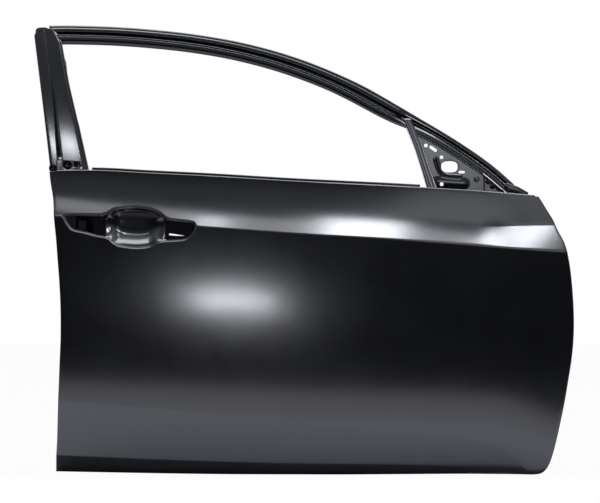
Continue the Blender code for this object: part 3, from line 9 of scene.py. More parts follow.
import bmesh
import bpy
import numpy as np
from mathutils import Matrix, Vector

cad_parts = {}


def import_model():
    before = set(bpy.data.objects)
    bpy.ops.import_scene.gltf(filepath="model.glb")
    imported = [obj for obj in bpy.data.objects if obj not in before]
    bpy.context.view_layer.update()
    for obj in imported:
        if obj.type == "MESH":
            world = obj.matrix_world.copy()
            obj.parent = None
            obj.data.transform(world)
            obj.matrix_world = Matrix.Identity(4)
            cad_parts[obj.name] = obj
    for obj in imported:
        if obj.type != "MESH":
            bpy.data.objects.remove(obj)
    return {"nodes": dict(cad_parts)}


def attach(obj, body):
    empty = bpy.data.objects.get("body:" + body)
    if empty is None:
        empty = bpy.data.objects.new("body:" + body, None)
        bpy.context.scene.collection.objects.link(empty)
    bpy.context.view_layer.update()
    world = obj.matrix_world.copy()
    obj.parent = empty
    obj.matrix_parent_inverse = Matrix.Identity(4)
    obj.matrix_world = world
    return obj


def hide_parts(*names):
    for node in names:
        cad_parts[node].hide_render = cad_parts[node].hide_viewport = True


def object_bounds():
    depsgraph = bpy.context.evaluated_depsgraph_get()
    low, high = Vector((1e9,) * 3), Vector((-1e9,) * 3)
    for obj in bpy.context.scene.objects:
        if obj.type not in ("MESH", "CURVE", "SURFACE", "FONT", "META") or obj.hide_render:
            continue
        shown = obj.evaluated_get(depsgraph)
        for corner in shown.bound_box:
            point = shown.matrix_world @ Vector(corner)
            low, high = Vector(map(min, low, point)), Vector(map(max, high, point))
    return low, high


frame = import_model()
cad_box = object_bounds()

# The body of the door and how its skin stands out
BODY_LENGTH = 1.1
BODY_HEIGHT = 0.645
SKIN_OVERHANG = 0.07
LOWER_HINGE_UP = 0.175
BELT_STAND = 0.04
SHOULDER_STAND = 0.07
SILL_STAND = 0.054
PLAN_CURVE_STAND = 0.03
PLAN_CENTRE_SHARE = 0.35
FLARE_SHARE = 0.2
BARREL_SHARE = 0.12
LOWER_TILT_SHARE = 0.16
UNDER_TILT_SHARE = 0.5
FOLD_START_SHARE, FOLD_END_SHARE = 0.80, 0.90
REAR = SKIN_OVERHANG - BODY_LENGTH
BOTTOM = -LOWER_HINGE_UP
TOP = BOTTOM + BODY_HEIGHT

# Sheets and fits
SKIN_SHEET = 0.0008
INNER_SHEET = 0.0009
FRAME_SHEET = 0.0011
PLATE_SHEET = 0.0016
WELD_GAP = 0.0003
FIT_GAP = 0.0006
HEM_GAP = 0.001
HEM_WIDTH = 0.0085
FLANGE_CLEAR = 0.0035
UPRIGHT_SHARE = 0.12

# The skin's outline and pressed lines
BELT_SHARES = ((-0.019, 1.003), (0.025, 1.005), (0.074, 1.005), (0.178, 0.996), (0.274, 0.988), (0.452, 0.97),
    (0.66, 0.9525), (0.828, 0.9354), (0.93, 0.921), (1.02, 0.905))
UPPER_LINE_SHARES = ((-0.02, 0.938), (0.15, 0.918), (0.3, 0.9), (0.45, 0.884), (0.6, 0.858), (0.7664, 0.83),
    (0.8474, 0.8238), (0.8918, 0.8258), (0.9588, 0.83), (1.02, 0.832))
SHOULDER_SHARES = ((-0.02, 0.858), (0.0, 0.8553), (0.135, 0.8385), (0.2707, 0.8219), (0.4519, 0.8),
    (0.6589, 0.7801), (0.7658, 0.767), (0.9001, 0.7487), (0.9728, 0.7402), (1.02, 0.735))
SILL_SHARES = ((-0.02, 0.252), (0.0012, 0.2495), (0.1591, 0.2265), (0.3132, 0.2058), (0.4711, 0.1772),
    (0.6213, 0.1506), (0.7292, 0.1342), (0.7966, 0.12), (0.8505, 0.096), (0.88, 0.064), (0.9083, 0.01),
    (0.95, -0.11), (1.02, -0.34))
ROCKER_SHARES = ((-0.02, 0.0665), (-0.0056, 0.0656), (0.1572, 0.0541), (0.3122, 0.0442), (0.4673, 0.0372),
    (0.6611, 0.0332), (0.7444, 0.0286), (0.7987, 0.022), (0.8394, 0.006), (0.9083, -0.05), (0.95, -0.18),
    (1.02, -0.42))
HEEL_SHARES = ((-0.02, 0.0093), (0.118, 0.006), (0.2733, 0.0027), (0.4673, 0.0013), (0.6613, 0.0033),
    (0.76, 0.0046), (0.8, 0.005), (0.84, -0.015), (0.9083, -0.1), (1.02, -0.5))
BOTTOM_SHARES = ((-0.02, 0.0093), (0.118, 0.006), (0.2733, 0.0027), (0.4673, 0.0013), (0.6613, 0.0033),
    (0.8, 0.005), (0.86, 0.005), (0.94, 0.005), (1.02, 0.005))
BOTTOM_END_SHARE = 0.8
REAR_EDGE_SHARES = ((-0.02, -0.0092), (0.0543, -0.0058), (0.12, -0.0029), (0.1858, -0.001), (0.2515, 0.0009),
    (0.3172, 0.0029), (0.383, 0.0048), (0.4487, 0.0067), (0.5144, 0.0073), (0.5801, 0.0067), (0.6459, 0.0048),
    (0.7116, 0.0019), (0.7773, -0.001), (0.8431, -0.0049), (0.9088, -0.0087), (0.9745, -0.016),
    (1.02, -0.019))
FRONT_EDGE_SHARES = ((0.005, 0.918), (0.0065, 0.926), (0.011, 0.934), (0.022, 0.9415), (0.04, 0.9478),
    (0.072, 0.9545), (0.105, 0.9595), (0.17, 0.968), (0.2355, 0.9758), (0.3181, 0.9839), (0.4206, 0.9934),
    (0.4801, 0.9963), (0.5297, 0.9963), (0.5792, 0.9944), (0.6453, 0.9905), (0.7114, 0.9847), (0.7775, 0.975),
    (0.804, 0.9673), (0.8436, 0.9576), (0.8767, 0.9459), (0.9097, 0.9343), (0.95, 0.918))
LINES = (BELT_SHARES, UPPER_LINE_SHARES, SHOULDER_SHARES, SILL_SHARES, ROCKER_SHARES, HEEL_SHARES)

# The skin's net: rows in each band between two lines, columns, the row that closes the recess's hole below,
# and how closely rows crowd at a line
BAND_ROWS = (12, 20, 60, 24, 11)
HOLE_COLUMNS = 64
FRONT_COLUMNS = 130
HOLE_START_SHARE = 0.0075
HOLE_FOOT_PLACE = 2.18
ROW_CROWDING = 0.8
CREASE_SOFT = 0.003
CREASE_SAMPLES = 7
CREASE_FADE = 0.6
PATCH_SHARES = (0.08, 0.18, 0.3, 0.45, 0.6, 0.75, 0.88, 0.96, 1.0)

# The skin keeps inside the frame's box: its front edge is eased back and its foot held up
FRONT_EASE = 0.0018
FRONT_EASE_REACH = 0.012
FOOT_EASE = 0.0001

# The belt's rolled edge
BELT_ROLL = 0.0025
BELT_RETURN = 0.008
BELT_TURN_DOWN = 0.012

# The handle's recess: its outline, rolled rim and ledge, and the finger cup's falls
RECESS_LENGTH = 0.287
RECESS_ABOVE = 0.0351
RECESS_BELOW = 0.0583
RECESS_FROM_REAR_SHARE = 0.0097
RECESS_MARGIN = 0.0158
RECESS_TOP_SHARES = ((0.0, 0.0), (0.008, 0.12), (0.031, 0.222), (0.1, 0.262), (0.253, 0.325), (0.318, 0.42),
    (0.36, 0.64), (0.393, 0.798), (0.468, 0.926), (0.543, 1.0), (0.618, 0.977), (0.674, 0.892),
    (0.723, 0.735), (0.755, 0.52), (0.787, 0.379), (0.843, 0.35), (0.955, 0.339), (0.984, 0.235), (1.0, 0.0))
RECESS_BOTTOM_SHARES = ((0.0, 0.0), (0.014, 0.123), (0.039, 0.328), (0.077, 0.5), (0.165, 0.573),
    (0.253, 0.655), (0.318, 0.69), (0.35, 0.745), (0.376, 0.863), (0.411, 0.952), (0.468, 0.99), (0.554, 1.0),
    (0.63, 0.94), (0.67, 0.868), (0.704, 0.765), (0.745, 0.69), (0.843, 0.628), (0.91, 0.561), (0.958, 0.405),
    (0.988, 0.18), (1.0, 0.0))
LEDGE_WIDTH = 0.0055
LEDGE_DEPTH = 0.005
RIM_ROLL = 0.0028
RIM_FILLET = 0.0015
LEDGE_LIP = 0.0006
LEDGE_LIP_DROP = 0.0004
CUP_LEFT_SHARE = 0.34
CUP_RIGHT_SHARE = 0.735
CUP_BULGE = 0.004
CUP_SHOWN_DEPTH = 0.0175
CUP_SIDE_FALL = 0.020
CUP_TOP_FALL = 0.005
CUP_RAMP = 0.029
CUP_SIDE_SOFTNESS = 0.20
CUP_SOFTNESS = 0.02
CUP_ARC_POINTS = 30
CUP_RINGS = 52
CUP_CROWDING = 1.25
CUP_RIM_POWER = 5
SKIRT_STEPS = ((0.0, 0.0, 0.0), (0.002, 0.0006, 0.0), (0.005, 0.0040, 0.0), (0.011, 0.0050, 0.0))

# The window's cylinder and how far the frame's face stands out from it
FRAME_RISE = 0.33
GLASS_BELT_OUT = 0.0125
GLASS_LEAN_SHARE = 0.17
GLASS_RADIUS = 1.35
FRAME_FACE_OUT = 0.01

# The roof rail and the channel behind it; the ridge starts at a share and blends in over another
HEADER_WIDTH = 0.036
HEADER_LIP = 0.016
HEADER_GROOVE = 0.012
HEADER_BOX = 0.012
HEADER_END_LEAN = 0.024
NEST_OVERLAP = 0.006
HEADER_START_SHARE = -0.034
HEADER_END_SHARE = 0.884
HEADER_LEAN_SHARE = 0.12
HEADER_SHARES = ((-0.0315, 0.987), (-0.0051, 0.9883), (0.045, 0.985), (0.0907, 0.9791), (0.1746, 0.9581),
    (0.2684, 0.92), (0.3574, 0.8632), (0.4461, 0.7795), (0.5217, 0.6829), (0.595, 0.5668), (0.6631, 0.4337),
    (0.709, 0.3403), (0.7443, 0.2694), (0.779, 0.1961), (0.8498, 0.025), (0.8866, -0.0851))
HEADER_WIDTH_SHARES = ((-0.05, 1.0), (0.3, 1.0), (0.52, 1.04), (0.66, 1.0), (0.72, 0.68), (0.8, 0.64),
    (0.8866, 0.6))
HEADER_STATIONS = 420
RAIL_OVER_BELT = 0.003
RIDGE_START_SHARE = 0.655
RIDGE_BLEND_SHARE = 0.03
BOX_EASE = 0.0009
CORNER_RADIUS = 0.0010
RAIL_CORNER_RADIUS = 0.0007

# The rear upright: its edges and crown, its groove, the tongue inside the door and the holes at its foot
# (x, z, width, height, power)
SASH_SIDE = 0.02
SASH_WIDTH = 0.06
SASH_GROOVE_WIDTH = 0.01
SASH_GROOVE_DEPTH = 0.004
SASH_FOOT_SHARE = 0.004
SASH_TONGUE_SHARE = -0.28
REAR_SASH_LEFT_SHARES = ((-1.3, 0.01), (-0.4, -0.01), (0.0184, -0.0191), (0.0792, -0.0216), (0.3317, -0.0329),
    (0.64, -0.0482), (0.9161, -0.0627), (1.0, -0.067))
REAR_SASH_RIGHT_SHARES = ((-1.3, 0.15), (-0.4, 0.0866), (-0.0011, 0.0577), (0.0348, 0.0551), (0.3317, 0.0331),
    (0.5877, 0.0127), (0.862, -0.0102), (0.915, -0.0225), (0.97, -0.038))
CROWN_ROWS = (0.9712, 0.969, 0.9665, 0.964, 0.96, 0.9553, 0.945, 0.9356, 0.925, 0.915)
CROWN_LEFT_SHARES = ((0.915, -0.0642), (0.9356, -0.0604), (0.9553, -0.0608), (0.9665, -0.0582),
    (0.9712, -0.0499))
CROWN_RIGHT_SHARES = ((0.3328, 0.0326), (0.5893, 0.0121), (0.8744, -0.0068), (0.924, -0.015), (0.96, -0.023),
    (0.969, -0.038), (0.9712, -0.0423))
SASH_GROOVE_LINE_SHARES = ((0.1044, -0.0007), (0.4291, -0.0133), (0.7274, -0.0303), (0.96, -0.0425))
UPRIGHT_TOP_SHARE = 0.905
UPRIGHT_ROWS = 96
TONGUE_INSET = 0.038
TONGUE_DOWN_SHARES = (0.006, 0.10)
GROOVE_TAPER_SHARES = (0.78, 0.68)
GROOVE_END_SHARES = (0.088, 0.022)
GROOVE_DEPTH_SHARE = 1.6
GROOVE_TOP_WIDTH_SHARE = 0.2
GROOVE_TOP_DEPTH_SHARE = 0.04
FOOT_HOLES = ((-1.0137, 0.4869, 0.0192, 0.0192, 2.0), (-1.0440, 0.4792, 0.0150, 0.0150, 2.0),
              (-0.9951, 0.4854, 0.0078, 0.0072, 6.0))
POCKET_SHARE = 1.15
POCKET_DEPTH = 0.012
UPRIGHT_CUT = (-0.06, 0.004)

# The front glass guide
DIVISION_SIDE = 0.015
DIVISION_LEFT_SHARES = ((-1.3, 0.8176), (-0.0923, 0.7135), (0.0851, 0.6982), (0.2034, 0.6867),
    (0.2879, 0.6767), (0.35, 0.669))
DIVISION_RIGHT_SHARES = ((-1.3, 0.8346), (-0.0923, 0.7305), (0.0851, 0.713), (0.1862, 0.7037),
    (0.2462, 0.6974), (0.2919, 0.6923), (0.35, 0.685))
GUIDE_ENDS_SHARES = (0.352, -0.96)
GUIDE_WIDTH = 0.018

# The mirror's plate: its bead, boss, dish, shelf and gutter, each with a height and a reach, then its slots
# (start, end, width) and the deeper bracket with its spots
MIRROR_DEPTH = 0.004
MIRROR_FRONT_SHARE = (0.8251, -0.15)
PLATE_END_SHARE = (0.876, -0.15)
PLATE_COLUMNS, PLATE_ROWS = 190, 120
GUTTER_ROWS_SHARE = 0.8
BEAD_SHARES = ((0.7303, 0.0812), (0.7340, 0.035), (0.7385, 0.002), (0.7440, -0.018), (0.7530, -0.0275),
               (0.7767, -0.0331))
BEAD = (0.0034, 0.0042)
BEAD_LIP = (-0.0016, 0.0040)
BOSS_SHARE = (0.8110, -0.0425)
BOSS = (-0.0007, 0.0080)
DISH_SHARE = (0.7583, 0.0413)
DISH = (0.0012, 0.0190)
DISH_HOLE = (0.0352, 0.0240, 2.8)
SHELF_SHARES = ((0.736, -0.060), (0.786, -0.070))
SHELF = (-0.0026, 0.0150)
GUTTER = 0.012
GUTTER_SEEN = 0.0076
GUTTER_DEPTH = 0.0100
GUTTER_WALL = 0.0012
GUTTER_BROW_DOWN = 0.0088
GUTTER_BROW = (-0.0012, 0.0024)
BRACKET_WALL = 0.0015
BRACKET_DEPTH = 0.0060
SPOT_SHARES = ((0.8340, -0.0560), (0.8420, -0.0860), (0.8540, -0.0990), (0.8640, -0.1060))
SPOT = (-0.0040, 0.0060)
SLOT_SHARES = (((0.7130, 0.1810), (0.7131, 0.1810), 0.0080), ((0.7228, 0.1700), (0.7316, 0.1490), 0.0066),
               ((0.7432, 0.1035), (0.7433, 0.1035), 0.0076), ((0.7785, 0.0065), (0.7860, 0.0065), 0.0054),
               ((0.7426, -0.0728), (0.7427, -0.0728), 0.0080))
PLATE_CUT = (-0.08, 0.06)

# The corner piece in front, and the strip along the belt
TIP_TOP_SHARES = ((0.869, -0.066), (0.8898, -0.0872), (0.9108, -0.1262))
TIP_STATIONS = 24
TIP_ROWS = ((0.0, 0.0), (0.5, 0.0), (0.85, 0.0002), (1.0, 0.0012), (1.0, 0.0060))
BELT_STRIP_UP = 0.0085
BELT_STRIP_DOWN = 0.03
BELT_BEAD = 0.0045
BELT_STRIP_SHARES = (0.064, 0.7)
BELT_STRIP_STATIONS = 120
BELT_STRIP_ROUND = 0.0015
BELT_STRIP_TOP = ((0.0045, -0.0012), (0.0030, 0.0), (0.0, -0.0010))

# The floor: where its tones change (y of a start and an end), and the tones; these are painted light and
# shade
FLOOR_LENGTHS = (-4.5, 3.5)
FLOOR_WIDTHS = (-0.85, 5.0)
FLOOR_GAP = 0.0005
FAR_START, FAR_END = -0.98, -0.66
NEAR_START, NEAR_END = -0.52, -0.42
CONTACT_START, CONTACT_END = -0.100, -0.075
# Far tone: painted shade towards the floor's far edge; middle: greyer; near tone: painted light, cooler and
# brighter
FAR_PAINTED_SHADE, MIDDLE_TONE, NEAR_PAINTED_LIGHT = (0.25, 0.24, 0.24, 1), (0.82, 0.79, 0.79, 1), (0.92, 0.95, 1.0, 1)
# Grain is the paper's own; the contact tone is a painted shadow where the door touches down
GRAIN_TONE, PAINTED_CONTACT_SHADOW = (0.80, 0.80, 0.80, 1), (0.22, 0.22, 0.25, 1)
FLOOR_WHITE_SHARE = 0.97

# The room's light: all round, from low up, near the top, and from behind the door
ROOM_LEVEL = 0.012
SKY_LEVEL = 0.22
CEILING_LEVEL = 0.70
BEHIND_LEVEL = 0.10

# Lamps: name, place, target, width, height, level, tint, and the one piece that it lights
PLAIN, COOL = (1.0, 1.0, 1.0), (0.92, 0.94, 1.0)
LAMPS = (("key", (-0.80, -3.0, -0.04), (-0.667, 0.0, 0.20), 0.34, 0.07, 42.0, PLAIN, None),
         ("right_fill", (0.50, -3.0, 1.60), (-0.10, 0.0, 0.45), 0.9, 1.4, 0.9, PLAIN, None),
         ("top_box", (-0.5, 0.2, 3.4), (-0.5, 0.1, 0.0), 3.4, 2.4, 5.0, PLAIN, None),
         ("shoulder_strip", (-0.45, -0.90, 1.33), (-0.45, -0.06, 0.36), 1.70, 0.26, 2.2, PLAIN, "skin"),
         ("shoulder_middle", (-0.25, -0.92, 1.29), (-0.25, -0.06, 0.36), 0.26, 0.34, 15.0, PLAIN, "skin"),
         ("shoulder_rear", (-0.71, -0.86, 1.33), (-0.71, -0.06, 0.36), 0.08, 0.20, 11.0, PLAIN, "skin"),
         ("shoulder_front", (0.21, -0.86, 1.33), (0.0, -0.06, 0.36), 0.14, 0.20, 16.0, PLAIN, "skin"),
         ("upright_glow", (-1.33, -1.50, 1.32), (-1.03, 0.0, 0.52), 0.24, 0.15, 18.0, PLAIN, "rear_upright"),
         ("guide_fill", (-0.10, -3.0, 1.90), (-0.25, 0.0, 0.50), 1.8, 1.3, 1.5, COOL, "front_guide"),
         ("plate_fill", (0.14, -3.0, 2.00), (-0.20, 0.0, 0.50), 0.5, 1.1, 1.2, COOL, "mirror_mount"))
CAMERA_PLACE = (-0.516, -3.583, 0.302)


# Curves and surfaces

def spline(table, at):
    """Value at each place in at of a smooth curve through a table of (place, value) pairs."""
    knots, values = np.array(table, dtype=float).T
    slopes = np.gradient(values, knots)
    at = np.clip(np.asarray(at, dtype=float), knots[0], knots[-1])
    left = np.clip(np.searchsorted(knots, at, side="right") - 1, 0, len(knots) - 2)
    span = knots[left + 1] - knots[left]
    q = (at - knots[left]) / span
    start = values[left] * (1 + 2 * q) * (1 - q) ** 2 + slopes[left] * span * q * (1 - q) ** 2
    end = values[left + 1] * q * q * (3 - 2 * q) + slopes[left + 1] * span * q * q * (q - 1)
    return start + end


def rising(q):
    """A smooth step: 0 up to 0, 1 from 1 on."""
    q = np.clip(q, 0, 1)
    return q * q * (3 - 2 * q)


def line_height(table, x):
    """Height of one of the skin's lengthwise lines at each x."""
    return BOTTOM + BODY_HEIGHT * spline(table, (np.asarray(x) - REAR) / BODY_LENGTH)


def rear_edge(z):
    """x of the skin's rear edge at each height."""
    return REAR + BODY_LENGTH * spline(REAR_EDGE_SHARES, (np.asarray(z) - BOTTOM) / BODY_HEIGHT)


def front_edge(z):
    """x of the skin's front edge at each height."""
    return REAR + BODY_LENGTH * spline(FRONT_EDGE_SHARES, (np.asarray(z) - BOTTOM) / BODY_HEIGHT)


def plan_y(x):
    """The door's bow in plan, from front to rear."""
    along = (np.asarray(x, dtype=float) - REAR) / BODY_LENGTH - PLAN_CENTRE_SHARE
    return PLAN_CURVE_STAND * along * along


def fade_in(x, start_share, end_share):
    """Smooth step from 0 to 1 between two shares of the body's length."""
    return rising(((np.asarray(x) - REAR) / BODY_LENGTH - start_share) / (end_share - start_share))


def skin_y(x, z):
    """Outer face of the skin: flared above the shoulder, barrelled below it, tucked under at the sill."""
    x, z = np.broadcast_arrays(np.asarray(x, dtype=float), np.asarray(z, dtype=float))
    belt, upper, shoulder, sill, rocker = (line_height(table, x) for table in LINES[:5])
    rise = SHOULDER_STAND - BELT_STAND
    q = np.clip((z - shoulder) / (belt - shoulder), 0, 1.2)
    swept = SHOULDER_STAND - rise * q - FLARE_SHARE * rise * 4 * q * (1 - q)
    upper_share = (upper - shoulder) / (belt - shoulder)
    fold = BELT_STAND + FLARE_SHARE * rise
    folded = np.where(q < upper_share, SHOULDER_STAND + (fold - SHOULDER_STAND) * q / upper_share,
                      fold + (BELT_STAND - fold) * (q - upper_share) / (1 - upper_share))
    fade = fade_in(x, FOLD_START_SHARE, FOLD_END_SHARE)
    above = (1 - fade) * swept + fade * folded
    p = np.clip((shoulder - z) / (shoulder - sill), 0, 1)
    fall = SHOULDER_STAND - SILL_STAND
    barrel = SHOULDER_STAND - fall * p * p + BARREL_SHARE * fall * 4 * p * (1 - p)
    tilt = LOWER_TILT_SHARE * np.clip(sill - z, 0, None)
    under = (UNDER_TILT_SHARE - LOWER_TILT_SHARE) * np.clip(rocker - z, 0, None)
    return plan_y(x) - np.where(z >= shoulder, above, barrel - tilt - under)


def soft_skin_y(x, z):
    """The skin's face with its pressed lines rounded: a mean of skin_y over heights close by."""
    steps = np.linspace(-1, 1, CREASE_SAMPLES)
    weights = 1 - CREASE_FADE * np.abs(steps)
    total = sum(weight * skin_y(x, z + CREASE_SOFT * step) for weight, step in zip(weights, steps))
    return total / weights.sum()


def glass_y(x, z):
    """The window's cylinder, which leans inwards above the belt and bows in plan like the skin."""
    h = np.asarray(z, dtype=float) - TOP
    return plan_y(x) + GLASS_LEAN_SHARE * h + h * h / (2 * GLASS_RADIUS) - GLASS_BELT_OUT


def glass_normal(z):
    """Unit vectors that point inwards from the window's cylinder, as y and z parts."""
    slope = GLASS_LEAN_SHARE + (np.asarray(z, dtype=float) - TOP) / GLASS_RADIUS
    size = np.sqrt(1 + slope * slope)
    return 1 / size, -slope / size


def inward(points, closed):
    """Unit normals on the left of each point of a path, lengthened at its corners to keep a width."""
    if closed:
        before = points - np.roll(points, 1, axis=0)
        after = np.roll(points, -1, axis=0) - points
    else:
        steps = np.diff(points, axis=0)
        before = np.concatenate((steps[:1], steps))
        after = np.concatenate((steps, steps[-1:]))
    before = before / np.linalg.norm(before, axis=1, keepdims=True)
    after = after / np.linalg.norm(after, axis=1, keepdims=True)
    turned = before + after
    turned = turned / np.linalg.norm(turned, axis=1, keepdims=True)
    reach = 1 / np.maximum((turned * after).sum(1), 0.5)
    return np.stack((-turned[:, 1], turned[:, 0]), 1) * reach[:, None]


def hem_radius():
    """Half the hem's thickness over its outer faces."""
    return (INNER_SHEET + 2 * HEM_GAP) / 2 + SKIN_SHEET


def rim_distance():
    """From the outline to the inner end of the flange that the hem clasps."""
    return hem_radius() + HEM_WIDTH + FLANGE_CLEAR


def way_into(border):
    """Square to the outline, but level along its upright edges, so that points stay on their own lines."""
    way = inward(border, closed=False)
    upright = border[:, 1] > BOTTOM + UPRIGHT_SHARE * BODY_HEIGHT
    level = np.stack(((way * way).sum(1) / way[:, 0], 0 * way[:, 0]), 1)
    return np.where(upright[:, None], level, way)


def on_skin(places, depth=0.0):
    """Points on the skin's outer face, or behind it by a depth, from x and z pairs."""
    places = np.asarray(places, dtype=float)
    x, z = places[..., 0], places[..., 1]
    return np.stack((x, soft_skin_y(x, z) + depth, z), -1)


def frame_place(shares):
    """x and z of places given in shares of the body's length and of the frame's rise over the belt."""
    shares = np.asarray(shares, dtype=float)
    return np.stack((REAR + BODY_LENGTH * shares[..., 0], TOP + FRAME_RISE * shares[..., 1]), -1)


def frame_share(z):
    """A height as a share of the frame's rise over the belt."""
    return (z - TOP) / FRAME_RISE


def on_glass(places, depth):
    """Points on the frame's outer face, or inside it by a depth square to the window's cylinder."""
    places = np.asarray(places, dtype=float)
    x, z = places[..., 0], places[..., 1]
    out_y, out_z = glass_normal(z)
    depth = np.broadcast_to(depth, x.shape) - FRAME_FACE_OUT
    return np.stack((x, glass_y(x, z) + depth * out_y, z + depth * out_z), -1)


def header_edges():
    """The roof rail's upper edge and its lower edge, a rail's width inside it."""
    x_shares = np.linspace(HEADER_START_SHARE, HEADER_END_SHARE, HEADER_STATIONS)
    upper = frame_place(np.stack((x_shares, spline(HEADER_SHARES, x_shares)), 1))
    steps = np.gradient(upper, axis=0)
    steps /= np.linalg.norm(steps, axis=1, keepdims=True)
    down = np.stack((steps[:, 1], -steps[:, 0]), 1)
    width = HEADER_WIDTH * spline(HEADER_WIDTH_SHARES, x_shares)[:, None]
    lean = HEADER_END_LEAN * np.clip(1 - (x_shares - HEADER_START_SHARE) / HEADER_LEAN_SHARE, 0, 1)[:, None]
    return upper, upper + width * down + lean * steps


def under_header(x):
    """Height just below the roof rail's lower edge."""
    lower = header_edges()[1]
    return np.interp(x, lower[:, 0], lower[:, 1]) - FIT_GAP


def edge_line(z_shares, smooth, straight=None):
    """An upright's edge: a smooth curve through a table; above another's start, straight lines through it."""
    x_shares = spline(smooth, z_shares)
    if straight:
        ruled = np.interp(z_shares, *np.transpose(straight))
        x_shares = np.where(z_shares > straight[0][0], ruled, x_shares)
    return frame_place(np.stack((x_shares, z_shares), 1))


def division_edges(z_shares):
    """The front guide's rear and front edges."""
    return edge_line(z_shares, DIVISION_LEFT_SHARES), edge_line(z_shares, DIVISION_RIGHT_SHARES)


def upright_edges(z_shares):
    """The rear upright's edges: its crown is chamfered behind and meets the roof rail's mitred end."""
    return (edge_line(z_shares, REAR_SASH_LEFT_SHARES, CROWN_LEFT_SHARES),
            edge_line(z_shares, REAR_SASH_RIGHT_SHARES, CROWN_RIGHT_SHARES))


def recess_start():
    """x of the recess's rear tip."""
    return REAR + RECESS_FROM_REAR_SHARE * BODY_LENGTH


def cup_ends():
    """x of the finger cup's rear and front ends."""
    return recess_start() + CUP_LEFT_SHARE * RECESS_LENGTH, recess_start() + CUP_RIGHT_SHARE * RECESS_LENGTH


# Meshes

class Surface:
    """Grids of points joined with quads, kept as whole arrays."""

    def __init__(self):
        self.points = []
        self.faces = []
        self.count = 0

    def add(self, grid):
        """Keep a grid of points and give the number of each."""
        grid = np.asarray(grid, dtype=float)
        numbers = self.count + np.arange(grid.size // 3).reshape(grid.shape[:-1])
        self.points.append(grid.reshape(-1, 3))
        self.count += numbers.size
        return numbers

    def join(self, numbers, closed=False):
        """Quads over a grid of numbers; a closed grid's last column meets its first."""
        if closed:
            numbers = np.concatenate((numbers, numbers[:, :1]), axis=1)
        corners = (numbers[:-1, :-1], numbers[1:, :-1], numbers[1:, 1:], numbers[:-1, 1:])
        self.faces.append(np.stack(corners, -1).reshape(-1, 4))

    def grid(self, points, closed=False):
        numbers = self.add(points)
        self.join(numbers, closed)
        return numbers

    def piece(self, name, towards=None, within=0.00001):
        """The object, its doubles merged and its faces turned to one side."""
        mesh = bpy.data.meshes.new(name)
        mesh.from_pydata(np.concatenate(self.points).tolist(), [], np.concatenate(self.faces).tolist())
        bm = bmesh.new()
        bm.from_mesh(mesh)
        bmesh.ops.remove_doubles(bm, verts=bm.verts[:], dist=within)
        bmesh.ops.delete(bm, geom=[vert for vert in bm.verts if not vert.link_faces], context="VERTS")
        bmesh.ops.recalc_face_normals(bm, faces=bm.faces[:])
        bm.to_mesh(mesh)
        bm.free()
        if towards is not None:
            areas = np.zeros(len(mesh.polygons))
            normals = np.zeros(3 * len(mesh.polygons))
            mesh.polygons.foreach_get("area", areas)
            mesh.polygons.foreach_get("normal", normals)
            if (areas @ normals.reshape(-1, 3)) @ np.array(towards) < 0:
                mesh.flip_normals()
        mesh.shade_smooth()
        thing = bpy.data.objects.new(name, mesh)
        bpy.context.scene.collection.objects.link(thing)
        return thing


def thicken(piece, thickness, even=True):
    """Give a sheet its wall, on the back of its faces, and keep it as a modifier."""
    wall = piece.modifiers.new("wall", "SOLIDIFY")
    wall.thickness = thickness
    wall.offset = -1
    wall.use_even_offset = even
    return piece


def sheet(name, grid, thickness, even=True):
    """A pressed sheet over one grid of points, faced outwards, with its wall behind it."""
    surface = Surface()
    surface.grid(grid)
    return thicken(surface.piece(name, towards=(0, -1, 0)), thickness, even)


def settle(piece):
    """Work the modifiers into the piece's mesh, and drop faces that a cut has folded to nothing."""
    bpy.context.view_layer.update()
    shown = piece.evaluated_get(bpy.context.evaluated_depsgraph_get())
    mesh = bpy.data.meshes.new_from_object(shown)
    mesh.validate()
    piece.modifiers.clear()
    piece.data = mesh


def cut(piece, outlines, low, high):
    """Take prisms out of a piece, between two values of y; each outline is a row of x and z pairs."""
    settle(piece)
    surface = Surface()
    for outline in outlines:
        middle = 0 * outline + outline.mean(axis=0)
        rings = ((middle, low), (outline, low), (outline, high), (middle, high))
        surface.grid([np.stack((ring[:, 0], np.full(len(ring), y), ring[:, 1]), -1) for ring, y in rings],
                     closed=True)
    cutter = surface.piece("cutter")
    step = piece.modifiers.new("holes", "BOOLEAN")
    step.object = cutter
    step.operation = "DIFFERENCE"
    step.solver = "EXACT"
    step.use_self = True
    settle(piece)
    bpy.data.objects.remove(cutter, do_unlink=True)


def pill(start, end, width, count=12):
    """Outline of a slot: half circles round both ends."""
    along = np.arctan2(*(end - start)[::-1])
    turns = along + np.linspace(-math.pi / 2, math.pi / 2, count)
    reach = width / 2 * np.stack((np.cos(turns), np.sin(turns)), 1)
    return np.concatenate((end + reach, start - reach))


def squircle(centre, width, height, power=3.0, count=40):
    """Outline of a rounded box: |x|^power + |z|^power = 1, stretched to a width and a height."""
    angle = np.linspace(0, 2 * math.pi, count, endpoint=False)
    c, s = np.cos(angle), np.sin(angle)
    reach = (np.abs(c) ** power + np.abs(s) ** power) ** (-1 / power)
    return np.stack((centre[0] + width / 2 * reach * c, centre[1] + height / 2 * reach * s), 1)


def rounded_path(points, radius, steps=3):
    """An open path with its corners rounded by a parabola through each corner's two neighbours."""
    points = np.asarray(points, dtype=float)
    back, ahead = points[:-2] - points[1:-1], points[2:] - points[1:-1]
    lengths = [np.linalg.norm(side, axis=1, keepdims=True) for side in (back, ahead)]
    reach = np.minimum(radius, 0.45 * np.minimum(*lengths))
    first, last = points[1:-1] + back / lengths[0] * reach, points[1:-1] + ahead / lengths[1] * reach
    q = np.linspace(0, 1, steps)[None, :, None]
    bends = (1 - q) ** 2 * first[:, None] + 2 * q * (1 - q) * points[1:-1, None] + q * q * last[:, None]
    return np.concatenate((points[:1], bends.reshape(-1, 2), points[-1:]))


